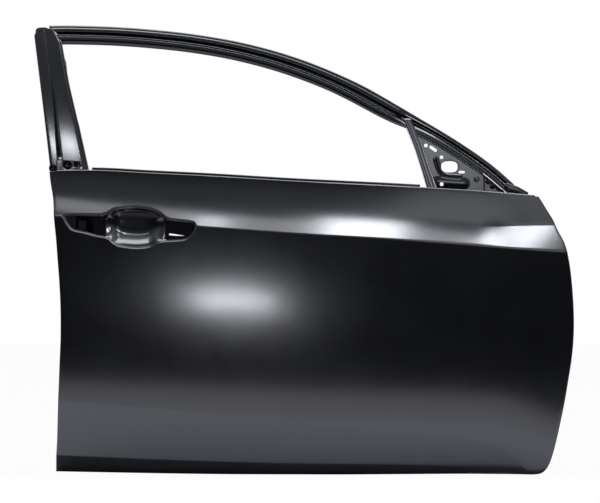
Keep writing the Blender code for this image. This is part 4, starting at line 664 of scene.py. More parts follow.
def dress(piece, material, *nodes, slot="black_primer"):
    """Give a piece its finish, its place on the body and the CAD nodes that it stands for."""
    piece.data.materials.clear()
    piece.data.materials.append(material)
    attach(piece, "root")
    if nodes:
        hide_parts(*nodes)
    return piece


# The skin

def row_places():
    """Place of each row between the pressed lines, which have whole numbers; rows crowd near the lines."""
    parts = []
    for band, count in enumerate(BAND_ROWS):
        q = np.linspace(0, 1, count, endpoint=False)
        turns = math.pi * (1 if band == len(BAND_ROWS) - 1 else 2)
        parts.append(band + q - ROW_CROWDING * np.sin(turns * q) / turns)
    return np.concatenate(parts + [[float(len(BAND_ROWS))]])


def heights(places, x):
    """Height at x of every row: the blend of the two pressed lines on either side of it."""
    lines = np.stack([line_height(table, x) for table in LINES])
    band = np.minimum(places.astype(int), len(LINES) - 2)
    rows = np.arange(len(places))
    blend = (places - band).reshape((-1,) + (1,) * (lines.ndim - 2))
    return (1 - blend) * lines[band, rows] + blend * lines[band + 1, rows]


def row_limits(places):
    """Where each row meets the rear edge, and where it leaves the outline in front."""
    start = np.full(len(places), REAR)
    for _ in range(12):
        start = rear_edge(heights(places, start))
    low = np.full(len(places), REAR + BODY_LENGTH / 2)
    high = np.full(len(places), REAR + BODY_LENGTH)
    for _ in range(40):
        middle = (low + high) / 2
        z = heights(places, middle)
        inside = (z > line_height(BOTTOM_SHARES, middle)) & (middle < front_edge(z))
        low, high = np.where(inside, middle, low), np.where(inside, high, middle)
    low[-1] = REAR + BOTTOM_END_SHARE * BODY_LENGTH
    return start, low


def hole_end_share():
    """Where the net's hole for the recess ends, as a share of the body's length."""
    return RECESS_FROM_REAR_SHARE + (RECESS_LENGTH + RECESS_MARGIN) / BODY_LENGTH


def column_shares():
    """Places of the net's columns along a row: even past the recess's hole, and even from there on."""
    rear = np.linspace(HOLE_START_SHARE, hole_end_share(), HOLE_COLUMNS)
    front = np.linspace(hole_end_share(), 1, FRONT_COLUMNS + 1)[1:]
    return np.concatenate(([0.0], rear, front))


def border_loop(places):
    """The outline from the rear of the belt, down, forwards and up."""
    rear_x, front_x = row_limits(places)
    bottom_x = rear_x[-1] + (front_x[-1] - rear_x[-1]) * column_shares()
    x = np.concatenate((rear_x, bottom_x[1:], front_x[-2::-1]))
    z = np.concatenate((heights(places, rear_x), line_height(BOTTOM_SHARES, bottom_x[1:]),
                        heights(places, front_x)[-2::-1]))
    near = np.clip((x - cad_box[1][0]) / FRONT_EASE_REACH + 1, 0, 1.2)
    return np.stack((x - FRONT_EASE * near * near, np.maximum(z, cad_box[0][2] + FOOT_EASE)), 1)


def skin_net(places, border):
    """x and z of the net's crossings inside the hem's bend: rows along the lines, columns across."""
    count = len(places)
    ring = border + hem_radius() * way_into(border)
    rear, front = ring[:count], ring[::-1][:count]
    x = rear[:, :1] + (front - rear)[:, :1] * column_shares()[None, :]
    z = heights(places, x)
    x[:, 0], z[:, 0] = rear.T
    x[:, -1], z[:, -1] = front.T
    x[-1], z[-1] = ring[count - 1:len(ring) - count + 1].T
    return x, z


def resample(points, count):
    """Evenly spaced points along a path."""
    lengths = np.concatenate(([0], np.cumsum(np.linalg.norm(np.diff(points, axis=0), axis=1))))
    at = np.linspace(0, lengths[-1], count)
    return np.stack((np.interp(at, lengths, points[:, 0]), np.interp(at, lengths, points[:, 1])), 1)


def recess_half(table, reach, count):
    """One side of the recess's outline, from its rear tip to its front tip on the shoulder line."""
    shares = np.array(table)
    knots = np.arange(len(table))
    steps = np.linspace(0, len(table) - 1, 12 * len(table))
    along, across = (spline(np.stack((knots, column), 1), steps) for column in shares.T)
    x = recess_start() + RECESS_LENGTH * along
    return resample(np.stack((x, line_height(SHOULDER_SHARES, x) + reach * across), 1), count)


def recess_outline(top_count, low_count):
    """The whole outline, forwards along its top and back along its bottom, and the way in from it."""
    top_half = recess_half(RECESS_TOP_SHARES, RECESS_ABOVE, top_count + 1)
    low_half = recess_half(RECESS_BOTTOM_SHARES, -RECESS_BELOW, low_count + 1)
    outline = np.concatenate((top_half[:-1], low_half[:0:-1]))
    return outline, -inward(outline, closed=True)


def hem_rings(border):
    """Half a turn round the inner panel's flange, a circle carried along the outline, then a flat return."""
    radius = hem_radius()
    way_in = way_into(border)
    first, last = (on_skin(border + reach * way_in) for reach in (radius, rim_distance()))
    turns = np.radians(np.linspace(15, 180, 12))[:, None, None]
    place = first[:, ::2] - radius * np.sin(turns) * way_in
    depth = radius * (1 - np.cos(turns[..., 0]))
    bend = np.stack((place[..., 0], first[None, :, 1] + depth, place[..., 1]), -1)
    share = np.linspace(0, 1, 4)[1:, None, None] * HEM_WIDTH / (rim_distance() - radius)
    back = first + (last - first) * share + np.array((0.0, 2 * radius, 0.0))
    return np.concatenate((bend, back))


def belt_rings(x, z):
    """The top edge: a quarter turn inwards, a short flat and a turn down."""
    places = np.stack((x, z), -1)
    base = on_skin(places)
    turn = np.radians(np.linspace(10, 90, 9))
    inwards = BELT_ROLL * (1 - np.cos(turn))
    up = BELT_ROLL * np.sin(turn)
    over = np.array((BELT_RETURN - BELT_ROLL, BELT_RETURN - 0.3 * BELT_ROLL, BELT_RETURN, BELT_RETURN))
    down = np.array((BELT_ROLL, 0.7 * BELT_ROLL, 0.0, -BELT_TURN_DOWN))
    moves = np.stack((np.zeros(13), np.concatenate((inwards, over)), np.concatenate((up, down))), -1)
    return base[None] + moves[:, None]


def recess_rings(outline, way_in):
    """The recess's rolled rim: over a small radius, down, and round onto the flat ledge."""
    over = np.radians(np.linspace(15, 80, 6))
    under = np.radians(np.linspace(80, 0, 6))
    width = np.concatenate((RIM_ROLL * np.sin(over), RIM_ROLL + RIM_FILLET * (1 - np.sin(under)),
                            (LEDGE_WIDTH - LEDGE_LIP, LEDGE_WIDTH)))
    depth = np.concatenate((RIM_ROLL * (1 - np.cos(over)), LEDGE_DEPTH - RIM_FILLET * (1 - np.cos(under)),
                            (LEDGE_DEPTH, LEDGE_DEPTH + LEDGE_LIP_DROP)))
    place = outline + width[:, None, None] * way_in
    rim_y = soft_skin_y(outline[:, 0], outline[:, 1])
    return np.stack((place[..., 0], rim_y + depth[:, None], place[..., 1]), -1)


def nearest(values, x):
    """Number of the value closest to x."""
    return int(np.argmin(np.abs(values - x)))


def fall_in(distance, width, softness):
    """0 at an edge and nearly 1 from a width onwards: a straight ramp that bends to flat, a hyperbola."""
    ramp = 1 - np.clip(distance, 0, None) / width
    start = (math.sqrt(1 + softness) + 1) / 2
    return 1 - (np.sqrt(ramp * ramp + softness) + ramp) / (2 * start)


def cup_rings(rim, split):
    """Numbers of the rim's points round the cup, the bowl's rings inside them, and its two side arcs.

    Each ring is the rim drawn towards its centre. The depth is a product of four eased falls: steep from the
    top and the two ends, a long ramp from the bottom, onto a flat back.
    """
    left, right = cup_ends()
    top, low = rim[:split, 0], rim[split:, 0]
    top_left, top_right = nearest(top, left), nearest(top, right)
    low_right, low_left = split + nearest(low, right), split + nearest(low, left)
    q = np.linspace(0, 1, CUP_ARC_POINTS)[1:-1, None]
    arcs = [rim[start] + (rim[end] - rim[start]) * q
            + 4 * (q * (1 - q)) * np.array((side * CUP_BULGE, LEDGE_DEPTH, 0.0))
            for start, end, side in ((top_right, low_right, 1), (low_left, top_left, -1))]
    upper, lower = rim[top_left:top_right + 1], rim[low_right:low_left + 1]
    loop = np.concatenate((upper, arcs[0], lower, arcs[1]))
    centre = loop.mean(axis=0)
    share = (1 - np.linspace(0, 1, CUP_RINGS)[1:] ** CUP_CROWDING)[:, None]
    rings = centre + (loop - centre) * share[..., None]
    x, z = rings[..., 0], rings[..., 2]
    from_left = x - np.interp(z, arcs[1][:, 2], arcs[1][:, 0])
    from_right = np.interp(z, arcs[0][::-1, 2], arcs[0][::-1, 0]) - x
    from_top = np.interp(x, upper[:, 0], upper[:, 2]) - z
    from_low = z - np.interp(x, lower[::-1, 0], lower[::-1, 2])
    fall = (fall_in(from_left, CUP_SIDE_FALL, CUP_SIDE_SOFTNESS)
            * fall_in(from_right, CUP_SIDE_FALL, CUP_SIDE_SOFTNESS)
            * fall_in(from_top, CUP_TOP_FALL, CUP_SOFTNESS) * fall_in(from_low, CUP_RAMP, CUP_SOFTNESS))
    rise = (loop[None, :, 1] - centre[1]) * share ** CUP_RIM_POWER
    rings[..., 1] = centre[1] + rise + CUP_SHOWN_DEPTH * fall
    return loop, rings, arcs


def skin(material):
    """The outer skin: a net between the pressed lines, the handle's recess, the hem and the belt's edge.

    The recess is let into a hole in the net: a patch that turns the hole's edge into the recess's outline,
    the rolled rim, and the finger cup with a skirt on both sides; the two gaps beside it stay open.
    """
    places = row_places()
    border = border_loop(places)
    x, z = skin_net(places, border)
    surface = Surface()
    net = surface.add(on_skin(np.stack((x, z), -1)))
    top_row, shoulder_row, low_row = (nearest(places, place) for place in (1, 2, HOLE_FOOT_PLACE))
    first, last = 1, HOLE_COLUMNS
    surface.join(net[:top_row + 1])
    surface.join(net[low_row:])
    surface.join(net[top_row:low_row + 1, :first + 1])
    surface.join(net[top_row:low_row + 1, last:])
    top_path = np.concatenate((net[shoulder_row:top_row:-1, first], net[top_row, first:last],
                               net[top_row:shoulder_row, last]))
    low_path = np.concatenate((net[shoulder_row:low_row, last], net[low_row, last:first:-1],
                               net[low_row:shoulder_row:-1, first]))
    outline, way_in = recess_outline(len(top_path), len(low_path))
    edge = np.concatenate((top_path, low_path))
    flat = np.stack((x, z), -1).reshape(-1, 2)
    share = np.array(PATCH_SHARES)[:, None, None]
    patch = surface.add(on_skin(flat[edge - net[0, 0]] * (1 - share) + outline * share))
    surface.join(np.concatenate((edge[None], patch)), closed=True)
    rim = recess_rings(outline, way_in)
    surface.join(np.concatenate((patch[-1:], surface.add(rim))), closed=True)
    loop, bowl, arcs = cup_rings(rim[-1], len(top_path))
    surface.grid(np.concatenate((loop[None], bowl)), closed=True)
    for arc, side in zip(arcs, (1, -1)):
        surface.grid(arc[None] + (np.array(SKIRT_STEPS) * (side, 1, 1))[:, None])
    rim_numbers = np.concatenate((net[:, 0], net[-1, 1:], net[-2::-1, -1]))
    surface.join(np.concatenate((rim_numbers[None], surface.add(hem_rings(border)))))
    surface.join(np.concatenate((net[:1, 2:-1], surface.add(belt_rings(x[0, 2:-1], z[0, 2:-1])))))
    panel = thicken(surface.piece("skin", towards=(0, -1, 0)), SKIN_SHEET, even=False)
    return dress(panel, material, "outer_panel")


# The window frame

def carried(name, left, right, section, material, node, radius=CORNER_RADIUS, nominal=HEADER_WIDTH):
    """A section carried along the window's cylinder between two edges.

    Each of its points has a share of the width from left to right and a depth square to the cylinder;
    its corners are rounded first, at a nominal width. A section may be given for each station.
    """
    section = np.asarray(section, dtype=float)
    if section.ndim == 2:
        section = section[None]
    scale = np.array((nominal, 1.0))
    rows = np.array([rounded_path(row * scale, radius) / scale for row in section])
    rows = np.broadcast_to(rows, (len(left),) + rows.shape[1:])
    places = left[:, None] + (right - left)[:, None] * rows[..., 0:1]
    return dress(sheet(name, on_glass(places, rows[..., 1]), FRAME_SHEET, even=False), material, node)


def roof_rail(material):
    """Lip, outer face, glass-run groove and flange; forward of the glass guide a ridge and a wide flange."""
    upper, lower = header_edges()
    for edge in (upper, lower):
        edge[:, 1] = np.maximum(edge[:, 1], line_height(BELT_SHARES, edge[:, 0]) + RAIL_OVER_BELT)
    t = FRAME_SHEET
    rear = np.array(((0.0, HEADER_LIP), (0.0, 2.2 * t), (0.03, 0.9 * t), (0.17, 0.45 * t), (0.19, 0.9 * t),
                     (0.21, 0.35 * t), (0.29, 0.0), (0.37, 0.45 * t), (0.405, 2.2 * t), (0.42, HEADER_GROOVE),
                     (0.60, HEADER_GROOVE), (0.615, 2.0 * t), (0.635, 0.8 * t), (0.665, 0.8 * t),
                     (0.685, 2.4 * t), (0.72, 2.4 * t), (0.74, 1.2 * t), (0.92, 1.9 * t), (0.955, 3.0 * t),
                     (1.0, 4 * t), (1.0, HEADER_LIP)))
    front = np.array(((0.0, HEADER_LIP), (0.0, 2.2 * t), (0.03, 0.9 * t), (0.15, 0.7 * t), (0.20, 0.8 * t),
                      (0.24, 1.0 * t), (0.27, 1.1 * t), (0.335, 0.0), (0.35, 0.4 * t), (0.36, 2.2 * t),
                      (0.375, 0.9 * HEADER_GROOVE), (0.70, 1.1 * HEADER_GROOVE), (0.715, 4.0 * t),
                      (0.73, 2.7 * t), (0.76, 2.5 * t), (0.80, 2.1 * t), (0.84, 1.6 * t), (0.90, 0.9 * t),
                      (0.96, 0.4 * t), (1.0, 1.2 * t), (1.0, HEADER_LIP)))
    ridge = fade_in(upper[:, 0], RIDGE_START_SHARE, RIDGE_START_SHARE + RIDGE_BLEND_SHARE)[:, None, None]
    section = rear + (front - rear) * ridge
    return carried("roof_rail", upper, lower, section, material, "header_sash", radius=RAIL_CORNER_RADIUS)


def rail_closing(material):
    """The closing channel behind the roof rail."""
    upper, lower = (edge[3:-3] for edge in header_edges())
    nests = 2 * (FRAME_SHEET + WELD_GAP) / np.linalg.norm(upper - lower, axis=1)
    floor = HEADER_GROOVE + FRAME_SHEET + HEADER_BOX - BOX_EASE
    raised = floor - FRAME_SHEET
    start = HEADER_LIP - NEST_OVERLAP
    rows = [((n, start), (n, raised), (n + 0.1, floor), (0.45, floor), (0.5, raised), (0.55, floor),
             (0.9 - n, floor), (1 - n, raised), (1 - n, start)) for n in nests]
    return carried("rail_closing", upper, lower, rows, material, "header_inner")


def rear_upright(material):
    """The wide rear upright: a rounded side, the flat face with its tapered groove, and a stepped return."""
    z_shares = np.concatenate((CROWN_ROWS, np.linspace(UPRIGHT_TOP_SHARE, SASH_FOOT_SHARE, UPRIGHT_ROWS),
                               SASH_FOOT_SHARE - np.array(TONGUE_DOWN_SHARES), (SASH_TONGUE_SHARE,)))
    left, right = upright_edges(z_shares)
    inside = z_shares < SASH_FOOT_SHARE - TONGUE_DOWN_SHARES[0] / 2
    left[inside, 0] = REAR + TONGUE_INSET + INNER_SHEET + WELD_GAP
    width = right[:, 0] - left[:, 0]
    centre = REAR + BODY_LENGTH * np.interp(z_shares, *np.transpose(SASH_GROOVE_LINE_SHARES))
    taper = np.clip((GROOVE_TAPER_SHARES[0] - z_shares) / GROOVE_TAPER_SHARES[1], 0, 1)
    end = np.clip((z_shares - GROOVE_END_SHARES[0]) / GROOVE_END_SHARES[1], 0, 1)
    middle = np.where(inside, 0.5, (centre - left[:, 0]) / width)
    narrow = GROOVE_TOP_WIDTH_SHARE + (1 - GROOVE_TOP_WIDTH_SHARE) * taper
    shallow = GROOVE_TOP_DEPTH_SHARE + (1 - GROOVE_TOP_DEPTH_SHARE) * taper
    half = np.where(inside, 0.10, SASH_GROOVE_WIDTH / 2 * narrow / width)
    depth = np.where(inside, 0.0, SASH_GROOVE_DEPTH * GROOVE_DEPTH_SHARE * np.sqrt(end) * shallow)
    t = FRAME_SHEET
    rows = [((0.0, SASH_SIDE), (0.0, 2.5 * t), (0.02, 0.9 * t), (0.06, 0.1 * t), (0.12, 0.0),
             (m - 1.3 * h, 0.0), (m - h, 0.3 * t), (m - 0.75 * h, 0.3 * t + 0.35 * d),
             (m - 0.35 * h, 0.3 * t + 0.65 * d), (m + 0.35 * h, 0.3 * t + 1.1 * d),
             (m + 0.75 * h, 0.3 * t + 0.95 * d), (m + h, 0.3 * t), (m + 1.3 * h, 0.0), (0.86, 0.0),
             (0.90, 0.4 * t), (0.915, 1.6 * t), (0.975, 2.0 * t), (1.0, 3 * t), (1.0, SASH_SIDE))
            for m, h, d in zip(middle, half, depth)]
    piece = carried("rear_upright", left, right, rows, material, "rear_sash", nominal=SASH_WIDTH)
    cut(piece, foot_holes(), *UPRIGHT_CUT)
    return piece


def foot_holes():
    """Outlines of the three holes at the rear upright's foot."""
    return [squircle((x, z), width, height, power) for x, z, width, height, power in FOOT_HOLES]


def foot_pockets(material):
    """Blind pockets behind the upright's foot holes, where the closing plate shows dark."""
    surface = Surface()
    for outline in foot_holes():
        wide = outline.mean(axis=0) + POCKET_SHARE * (outline - outline.mean(axis=0))
        middle = 0 * wide + wide.mean(axis=0)
        rings = ((wide, 1.6 * FRAME_SHEET), (wide, POCKET_DEPTH), (middle, POCKET_DEPTH))
        surface.grid([on_glass(ring, depth) for ring, depth in rings], closed=True)
    return dress(thicken(surface.piece("foot_pockets", towards=(0, -1, 0)), FRAME_SHEET), material)


def front_guide(material):
    """The front glass guide: a channel with a crowned face between two fine lengthwise beads."""
    left, right = division_edges(np.linspace(*GUIDE_ENDS_SHARES, 90))
    t = FRAME_SHEET
    section = ((0.0, DIVISION_SIDE), (0.0, 2.2 * t), (0.06, 0.9 * t), (0.12, 0.15 * t), (0.30, 0.05 * t),
               (0.36, 0.6 * t), (0.42, 0.05 * t), (0.70, 0.0), (0.76, 0.5 * t), (0.82, 0.1 * t),
               (0.93, 0.3 * t), (1.0, 1.8 * t), (1.0, DIVISION_SIDE))
    return carried("front_guide", left, right, section, material, "division_sash", nominal=GUIDE_WIDTH)


def away_from_path(x, z, path):
    """Distance of each point from a polyline of x and z pairs."""
    best = np.full(x.shape, np.inf)
    for start, end in zip(path[:-1], path[1:]):
        along = end - start
        q = np.clip(((x - start[0]) * along[0] + (z - start[1]) * along[1]) / (along @ along), 0, 1)
        best = np.minimum(best, np.hypot(x - start[0] - q * along[0], z - start[1] - q * along[1]))
    return best


def hill(distance, size):
    """A smooth hill of a height that ends at a reach."""
    height, reach = size
    return height * rising(1 - distance / reach)


def mirror_mount(material):
    """The mirror's triangular plate: a net under the roof rail, with a pressed L bead, a boss and its holes.

    Its depth is the sum of smooth hills round points and lines. A dark gutter runs under the rail, and
    forward of a sharp step the plate goes on as a deeper bracket.
    """
    u = np.linspace(0, 1, PLATE_COLUMNS)[None, :]
    v = np.linspace(0, 1, PLATE_ROWS)[:, None]
    end = frame_place(PLATE_END_SHARE)
    z = np.full((PLATE_ROWS, PLATE_COLUMNS), TOP)
    for _ in range(10):
        left = division_edges(frame_share(z[:, 0]))[1][:, :1] + WELD_GAP + FRAME_SHEET / 2
        x = left + (end[0] - left) * u
        upper = under_header(x)
        gutter = np.clip(0.5 * (upper - end[1]), 0.0, GUTTER)
        z = np.where(v < GUTTER_ROWS_SHARE, end[1] + (upper - gutter - end[1]) * v / GUTTER_ROWS_SHARE,
                     upper - gutter * (1 - v) / (1 - GUTTER_ROWS_SHARE))
    bead, boss, dish = (frame_place(shares) for shares in (BEAD_SHARES, BOSS_SHARE, DISH_SHARE))
    below = under_header(x) - z
    depth = (MIRROR_DEPTH + hill(away_from_path(x, z, bead), BEAD)
             + hill(away_from_path(x, z, bead + BEAD_LIP[1]), BEAD_LIP)
             + hill(np.hypot(x - boss[0], z - boss[1]), BOSS)
             + hill(np.hypot((x - dish[0]) * 0.7, z - dish[1]), DISH)
             + hill(away_from_path(x, z, frame_place(SHELF_SHARES)), SHELF)
             + hill(np.abs(below - GUTTER_BROW_DOWN), GUTTER_BROW)
             + GUTTER_DEPTH * np.clip((GUTTER_SEEN - below) / GUTTER_WALL, 0, 1))
    spots = sum(hill(np.hypot(x - spot[0], z - spot[1]), SPOT) for spot in frame_place(SPOT_SHARES))
    past = np.clip((x - frame_place(MIRROR_FRONT_SHARE)[0]) / BRACKET_WALL, 0, 1)
    plate = on_glass(np.stack((x, z), -1), depth + past * (BRACKET_DEPTH + spots))
    piece = sheet("mirror_mount", plate, PLATE_SHEET)
    holes = [pill(*frame_place((start, far)), width) for start, far, width in SLOT_SHARES]
    cut(piece, holes + [squircle(dish, *DISH_HOLE)], *PLATE_CUT)
    return dress(piece, material, "mirror_plate")


def tip_cover(material):
    """The small corner piece that closes the rail's tip over the skin's front corner."""
    x_shares = np.linspace(TIP_TOP_SHARES[0][0], TIP_TOP_SHARES[-1][0], TIP_STATIONS)
    upper = frame_place(np.stack((x_shares, np.interp(x_shares, *np.transpose(TIP_TOP_SHARES))), 1))
    x = upper[:, 0]
    belt = line_height(BELT_SHARES, x)
    low = belt - BELT_TURN_DOWN / 2
    y = skin_y(x, belt) + BELT_RETURN + WELD_GAP
    rise, depth = np.transpose(TIP_ROWS)[..., None]
    cover = np.stack(np.broadcast_arrays(x, y + depth, low + (upper[:, 1] - low) * rise), -1)
    return dress(sheet("tip_cover", cover, FRAME_SHEET), material, "tip_cap")


def belt_strip(material):
    """The strip behind the skin's turned-down edge: its rounded top stands over the belt as a dark line."""
    x = REAR + BODY_LENGTH * np.linspace(*BELT_STRIP_SHARES, BELT_STRIP_STATIONS)
    z = line_height(BELT_SHARES, x)
    y = skin_y(x, z) + BELT_RETURN + WELD_GAP
    low = -BELT_TURN_DOWN
    top = [(back, BELT_STRIP_UP + up) for back, up in BELT_STRIP_TOP]
    foot = [(0.0, low), (-BELT_BEAD, low - BELT_BEAD), (-BELT_BEAD, -BELT_STRIP_DOWN),
            (0.0, -BELT_STRIP_DOWN - BELT_BEAD)]
    profile = rounded_path(top + foot, BELT_STRIP_ROUND, 5)
    strip = np.stack(np.broadcast_arrays(x, y + profile[:, :1], z + profile[:, 1:]), -1)
    return dress(sheet("belt_strip", strip, FRAME_SHEET), material, "belt_outer")


# Finishes

class Signal:
    """A socket in a material: arithmetic on it adds Math nodes."""

    def __init__(self, shader, socket):
        self.shader = shader
        self.socket = socket

    def math(self, operation, first, second):
        inputs = {0: first, 1: second}
        return self.shader.node("ShaderNodeMath", {"operation": operation}, inputs)

    def __add__(self, other):
        return self.math("ADD", self, other)

    __radd__ = __add__

    def __sub__(self, other):
        return self.math("SUBTRACT", self, other)

    def __rsub__(self, other):
        return self.math("SUBTRACT", other, self)

    def __mul__(self, other):
        return self.math("MULTIPLY", self, other)

    __rmul__ = __mul__

    def between(self, low, high):
        """0 below low, 1 above high, smooth between."""
        return self.shader.node("ShaderNodeMapRange", {"interpolation_type": "SMOOTHSTEP"},
                                {"Value": self, "From Min": low, "From Max": high})


class Shader:
    """One node tree, a material's or the world's."""

    def __init__(self, owner):
        owner.use_nodes = True
        self.tree = owner.node_tree
        self.tree.nodes.clear()

    def node(self, kind, settings=None, inputs=None, output=0):
        """Any node: its settings first, then the values or links of its sockets."""
        made = self.tree.nodes.new(kind)
        for name, value in (settings or {}).items():
            setattr(made, name, value)
        for name, value in (inputs or {}).items():
            if isinstance(value, Signal):
                self.tree.links.new(value.socket, made.inputs[name])
            else:
                made.inputs[name].default_value = value
        return Signal(self, made.outputs[output] if made.outputs else None)

    def place(self):
        return self.node("ShaderNodeTexCoord", output="Object")

    def noise(self, size, detail=2.0, vector=None):
        """Noise whose patches measure about a size in metres."""
        return self.node("ShaderNodeTexNoise", None,
                         {"Vector": vector or self.place(), "Scale": 1 / size, "Detail": detail})

    def mix_colours(self, share, first, second):
        return self.node("ShaderNodeMix", {"data_type": "RGBA"}, {0: share, 6: first, 7: second}, output=2)

    def bumps(self, height, strength, distance):
        return self.node("ShaderNodeBump", None,
                         {"Height": height, "Strength": strength, "Distance": distance})

    def principled(self, inputs):
        self.finish(self.node("ShaderNodeBsdfPrincipled", None, inputs))

    def finish(self, shown, target="ShaderNodeOutputMaterial"):
        self.node(target, None, {"Surface": shown})


def primer(name="black_primer_coat", index=1.70, coat_weight=0.5):
    """Black dip primer on pressed steel: satin gloss, a fine orange peel and cloudy, lightly run patches."""
    material = bpy.data.materials.new(name)
    shader = Shader(material)
    clouds = shader.noise(0.090, 3.0)
    grain = shader.noise(0.0030, 2.0)
    peel = shader.noise(0.0012, 2.0)
    drawn = shader.node("ShaderNodeMapping", None, {"Vector": shader.place(), "Scale": (1.0, 1.0, 0.25)})
    runs = shader.noise(0.020, 2.0, drawn)
    colour = shader.mix_colours(clouds.between(0.3, 0.7), (0.0034, 0.0036, 0.0048, 1),
                                (0.0046, 0.0050, 0.0064, 1))
    roughness = 0.155 + clouds.between(0.25, 0.75) * 0.020 + runs.between(0.35, 0.65) * 0.010
    shader.principled({"Base Color": colour, "Roughness": roughness + grain.between(0.3, 0.7) * 0.010,
                       "Normal": shader.bumps(peel * 0.6 + grain * 0.4, 0.07, 0.00010), "IOR": index,
                       "Coat Weight": coat_weight, "Coat Roughness": 0.14,
                       "Specular Tint": (0.88, 0.91, 1.0, 1)})
    return material


def zinc():
    """Dull zinc plating with a faint spangle."""
    material = bpy.data.materials.new("zinc_plate")
    shader = Shader(material)
    spangle = shader.node("ShaderNodeTexVoronoi", None, {"Vector": shader.place(), "Scale": 900.0})
    clouds = shader.noise(0.004, 3.0)
    shader.principled({"Base Color": shader.mix_colours(clouds, (0.36, 0.36, 0.34, 1), (0.52, 0.52, 0.50, 1)),
                       "Roughness": 0.32 + spangle * 0.12 + clouds * 0.08, "Metallic": 1.0,
                       "Normal": shader.bumps(clouds, 0.2, 0.0001)})
    return material


def mastic():
    """Soft black sealing compound with a skinned, slightly pitted face."""
    material = bpy.data.materials.new("mastic_pad")
    shader = Shader(material)
    pits = shader.noise(0.0015, 3.0)
    clouds = shader.noise(0.012, 2.0)
    colour = shader.mix_colours(clouds, (0.030, 0.030, 0.031, 1), (0.055, 0.054, 0.052, 1))
    shader.principled({"Base Color": colour, "Roughness": 0.72 + pits * 0.15,
                       "Normal": shader.bumps(pits, 0.5, 0.0004)})
    return material


# Stage, light and camera

def camera_or_through(shader):
    """1 for rays from the camera, and for rays that went through something clear."""
    paths = [shader.node("ShaderNodeLightPath", output=name)
             for name in ("Is Camera Ray", "Is Transmission Ray")]
    return paths[0].math("MAXIMUM", *paths)


def world():
    """White behind the door; dim and cool to light it; dark where the front of the door looks back at."""
    made = bpy.data.worlds.new("studio")
    bpy.context.scene.world = made
    shader = Shader(made)
    direction = shader.node("ShaderNodeTexCoord", output="Generated")
    across = shader.node("ShaderNodeSeparateXYZ", None, {"Vector": direction}, output="Y")
    up = shader.node("ShaderNodeSeparateXYZ", None, {"Vector": direction}, output="Z")
    behind = across.between(-0.35, 0.15)
    glossy = shader.node("ShaderNodeLightPath", output="Is Glossy Ray")
    white = camera_or_through(shader)
    white = white.math("MAXIMUM", white, glossy * behind)
    level = ROOM_LEVEL + SKY_LEVEL * up.between(0.02, 0.40) + CEILING_LEVEL * up.between(0.80, 0.97)
    level = level + BEHIND_LEVEL * behind
    ambient = shader.node("ShaderNodeBackground", None, {"Color": (0.93, 0.96, 1.0, 1), "Strength": level})
    backdrop = shader.node("ShaderNodeBackground", None, {"Color": (1, 1, 1, 1), "Strength": 1.0})
    shown = shader.node("ShaderNodeMixShader", None, {0: white, 1: ambient, 2: backdrop})
    shader.finish(shown, "ShaderNodeOutputWorld")


def floor():
    """A white floor that ends less than a metre in front of the door.

    What the door's lower body mirrors of it has painted light and shade in its colour: cooler and brighter
    close by, greyer and dark further out, and a painted contact shadow where the door touches down; to the
    camera it stays white, apart from a faint shadow.
    """
    x, y = np.linspace(*FLOOR_LENGTHS, 9), np.linspace(*FLOOR_WIDTHS, 7)
    surface = Surface()
    surface.grid(np.stack((*np.meshgrid(x, y), np.full((7, 9), cad_box[0][2] - FLOOR_GAP)), -1))
    sheet = surface.piece("floor", towards=(0, 0, 1))
    material = bpy.data.materials.new("white_paper")
    shader = Shader(material)
    grain = shader.noise(0.02, 2.0)
    across = shader.node("ShaderNodeSeparateXYZ", None, {"Vector": shader.place()}, output="Y")
    # Painted shade: the paper darkens towards its far edge
    tone = shader.mix_colours(across.between(FAR_START, FAR_END), FAR_PAINTED_SHADE, MIDDLE_TONE)
    # Painted light: the paper is brighter and cooler close to the door
    tone = shader.mix_colours(across.between(NEAR_START, NEAR_END), tone, NEAR_PAINTED_LIGHT)
    tone = shader.mix_colours(grain * 0.1, tone, GRAIN_TONE)
    # Painted contact shadow: a dark band where the door touches down
    tone = shader.mix_colours(across.between(CONTACT_START, CONTACT_END), tone, PAINTED_CONTACT_SHADOW)
    paper = shader.node("ShaderNodeBsdfDiffuse", None, {"Color": tone})
    lift = shader.node("ShaderNodeEmission", None, {"Color": (1, 1, 1, 1), "Strength": 1.0})
    share = camera_or_through(shader) * FLOOR_WHITE_SHARE
    shader.finish(shader.node("ShaderNodeMixShader", None, {0: share, 1: paper, 2: lift}))
    sheet.data.materials.append(material)


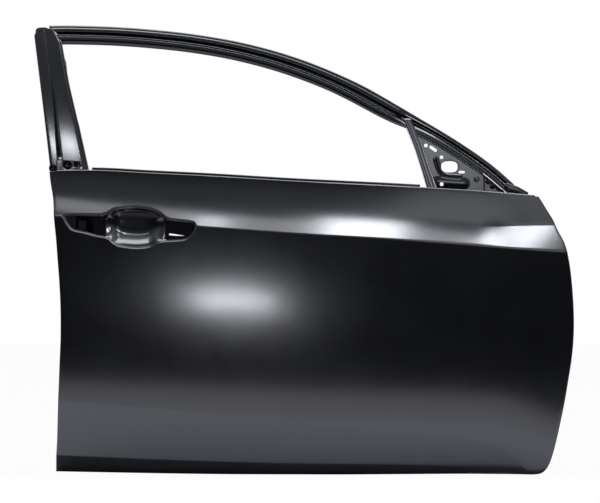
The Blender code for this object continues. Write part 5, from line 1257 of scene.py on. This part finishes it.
def lamp(name, place, target, width, height, level, tint):
    """A soft box at a place, turned to a target; its level is the brightness of its face."""
    light = bpy.data.lights.new(name, "AREA")
    light.shape = "RECTANGLE"
    light.size = width
    light.size_y = height
    light.energy = level * math.pi * width * height
    light.color = tint
    thing = bpy.data.objects.new(name, light)
    place, target = np.array(place), np.array(target)
    back = (place - target) / np.linalg.norm(place - target)
    side = np.cross((0, 0, 1), back)
    side = side / np.linalg.norm(side)
    matrix = np.eye(4)
    matrix[:3] = np.stack((side, np.cross(back, side), back, place), 1)
    thing.matrix_world = matrix.T.tolist()
    bpy.context.scene.collection.objects.link(thing)
    return thing


def lights(shown):
    """A low key, a strip over the shoulder with three brighter stretches, and soft fills.

    A lamp that names a piece lights nothing else, as a flag in a studio would see to.
    """
    groups = {}
    for *box, piece in LAMPS:
        thing = lamp(*box)
        if piece and piece not in groups:
            groups[piece] = bpy.data.collections.new("lit_" + piece)
            groups[piece].objects.link(shown[piece])
        if piece:
            thing.light_linking.receiver_collection = groups[piece]


def camera():
    """At the photograph's height and distance, square to the door."""
    made = bpy.data.cameras.new("camera")
    made.lens = 100
    made.sensor_width = 36
    made.sensor_fit = "HORIZONTAL"
    thing = bpy.data.objects.new("camera", made)
    thing.location = CAMERA_PLACE
    thing.rotation_euler = (math.pi / 2, 0, 0)
    bpy.context.scene.collection.objects.link(thing)
    bpy.context.scene.camera = thing


def dress_nodes(replaced, coats):
    """Give every CAD node that still shows its finish; the first word found in its name decides."""
    for name, node in frame["nodes"].items():
        if name in replaced:
            continue
        # Handle parts take a shaded copy of the primer: painted shade for their cavity
        finishes = (("nut", "zinc"), ("mastic", "mastic"), ("handle", "shaded_copy"), ("", "primer"))
        coat = coats[next(finish for word, finish in finishes if word in name)]
        if not node.data.materials:
            node.data.materials.append(coat)
        for slot in node.material_slots:
            slot.material = coat


# The second coat is the primer with weaker reflection and no coat layer: painted shade, a shaded copy of one
# material
coats = {"primer": primer(), "shaded_copy": primer("shaded_primer_copy", 1.28, 0.0), "zinc": zinc(), "mastic": mastic()}
shown = {}
for build in (skin, roof_rail, rail_closing, rear_upright, foot_pockets, front_guide, mirror_mount,
              belt_strip, tip_cover):
    shown[build.__name__] = build(coats["primer"])
dress_nodes({"outer_panel", "header_sash", "header_inner", "rear_sash", "division_sash", "mirror_plate",
             "belt_outer", "tip_cap"}, coats)
world()
floor()
lights(shown)
camera()
bpy.context.scene.view_settings.view_transform = "Standard"
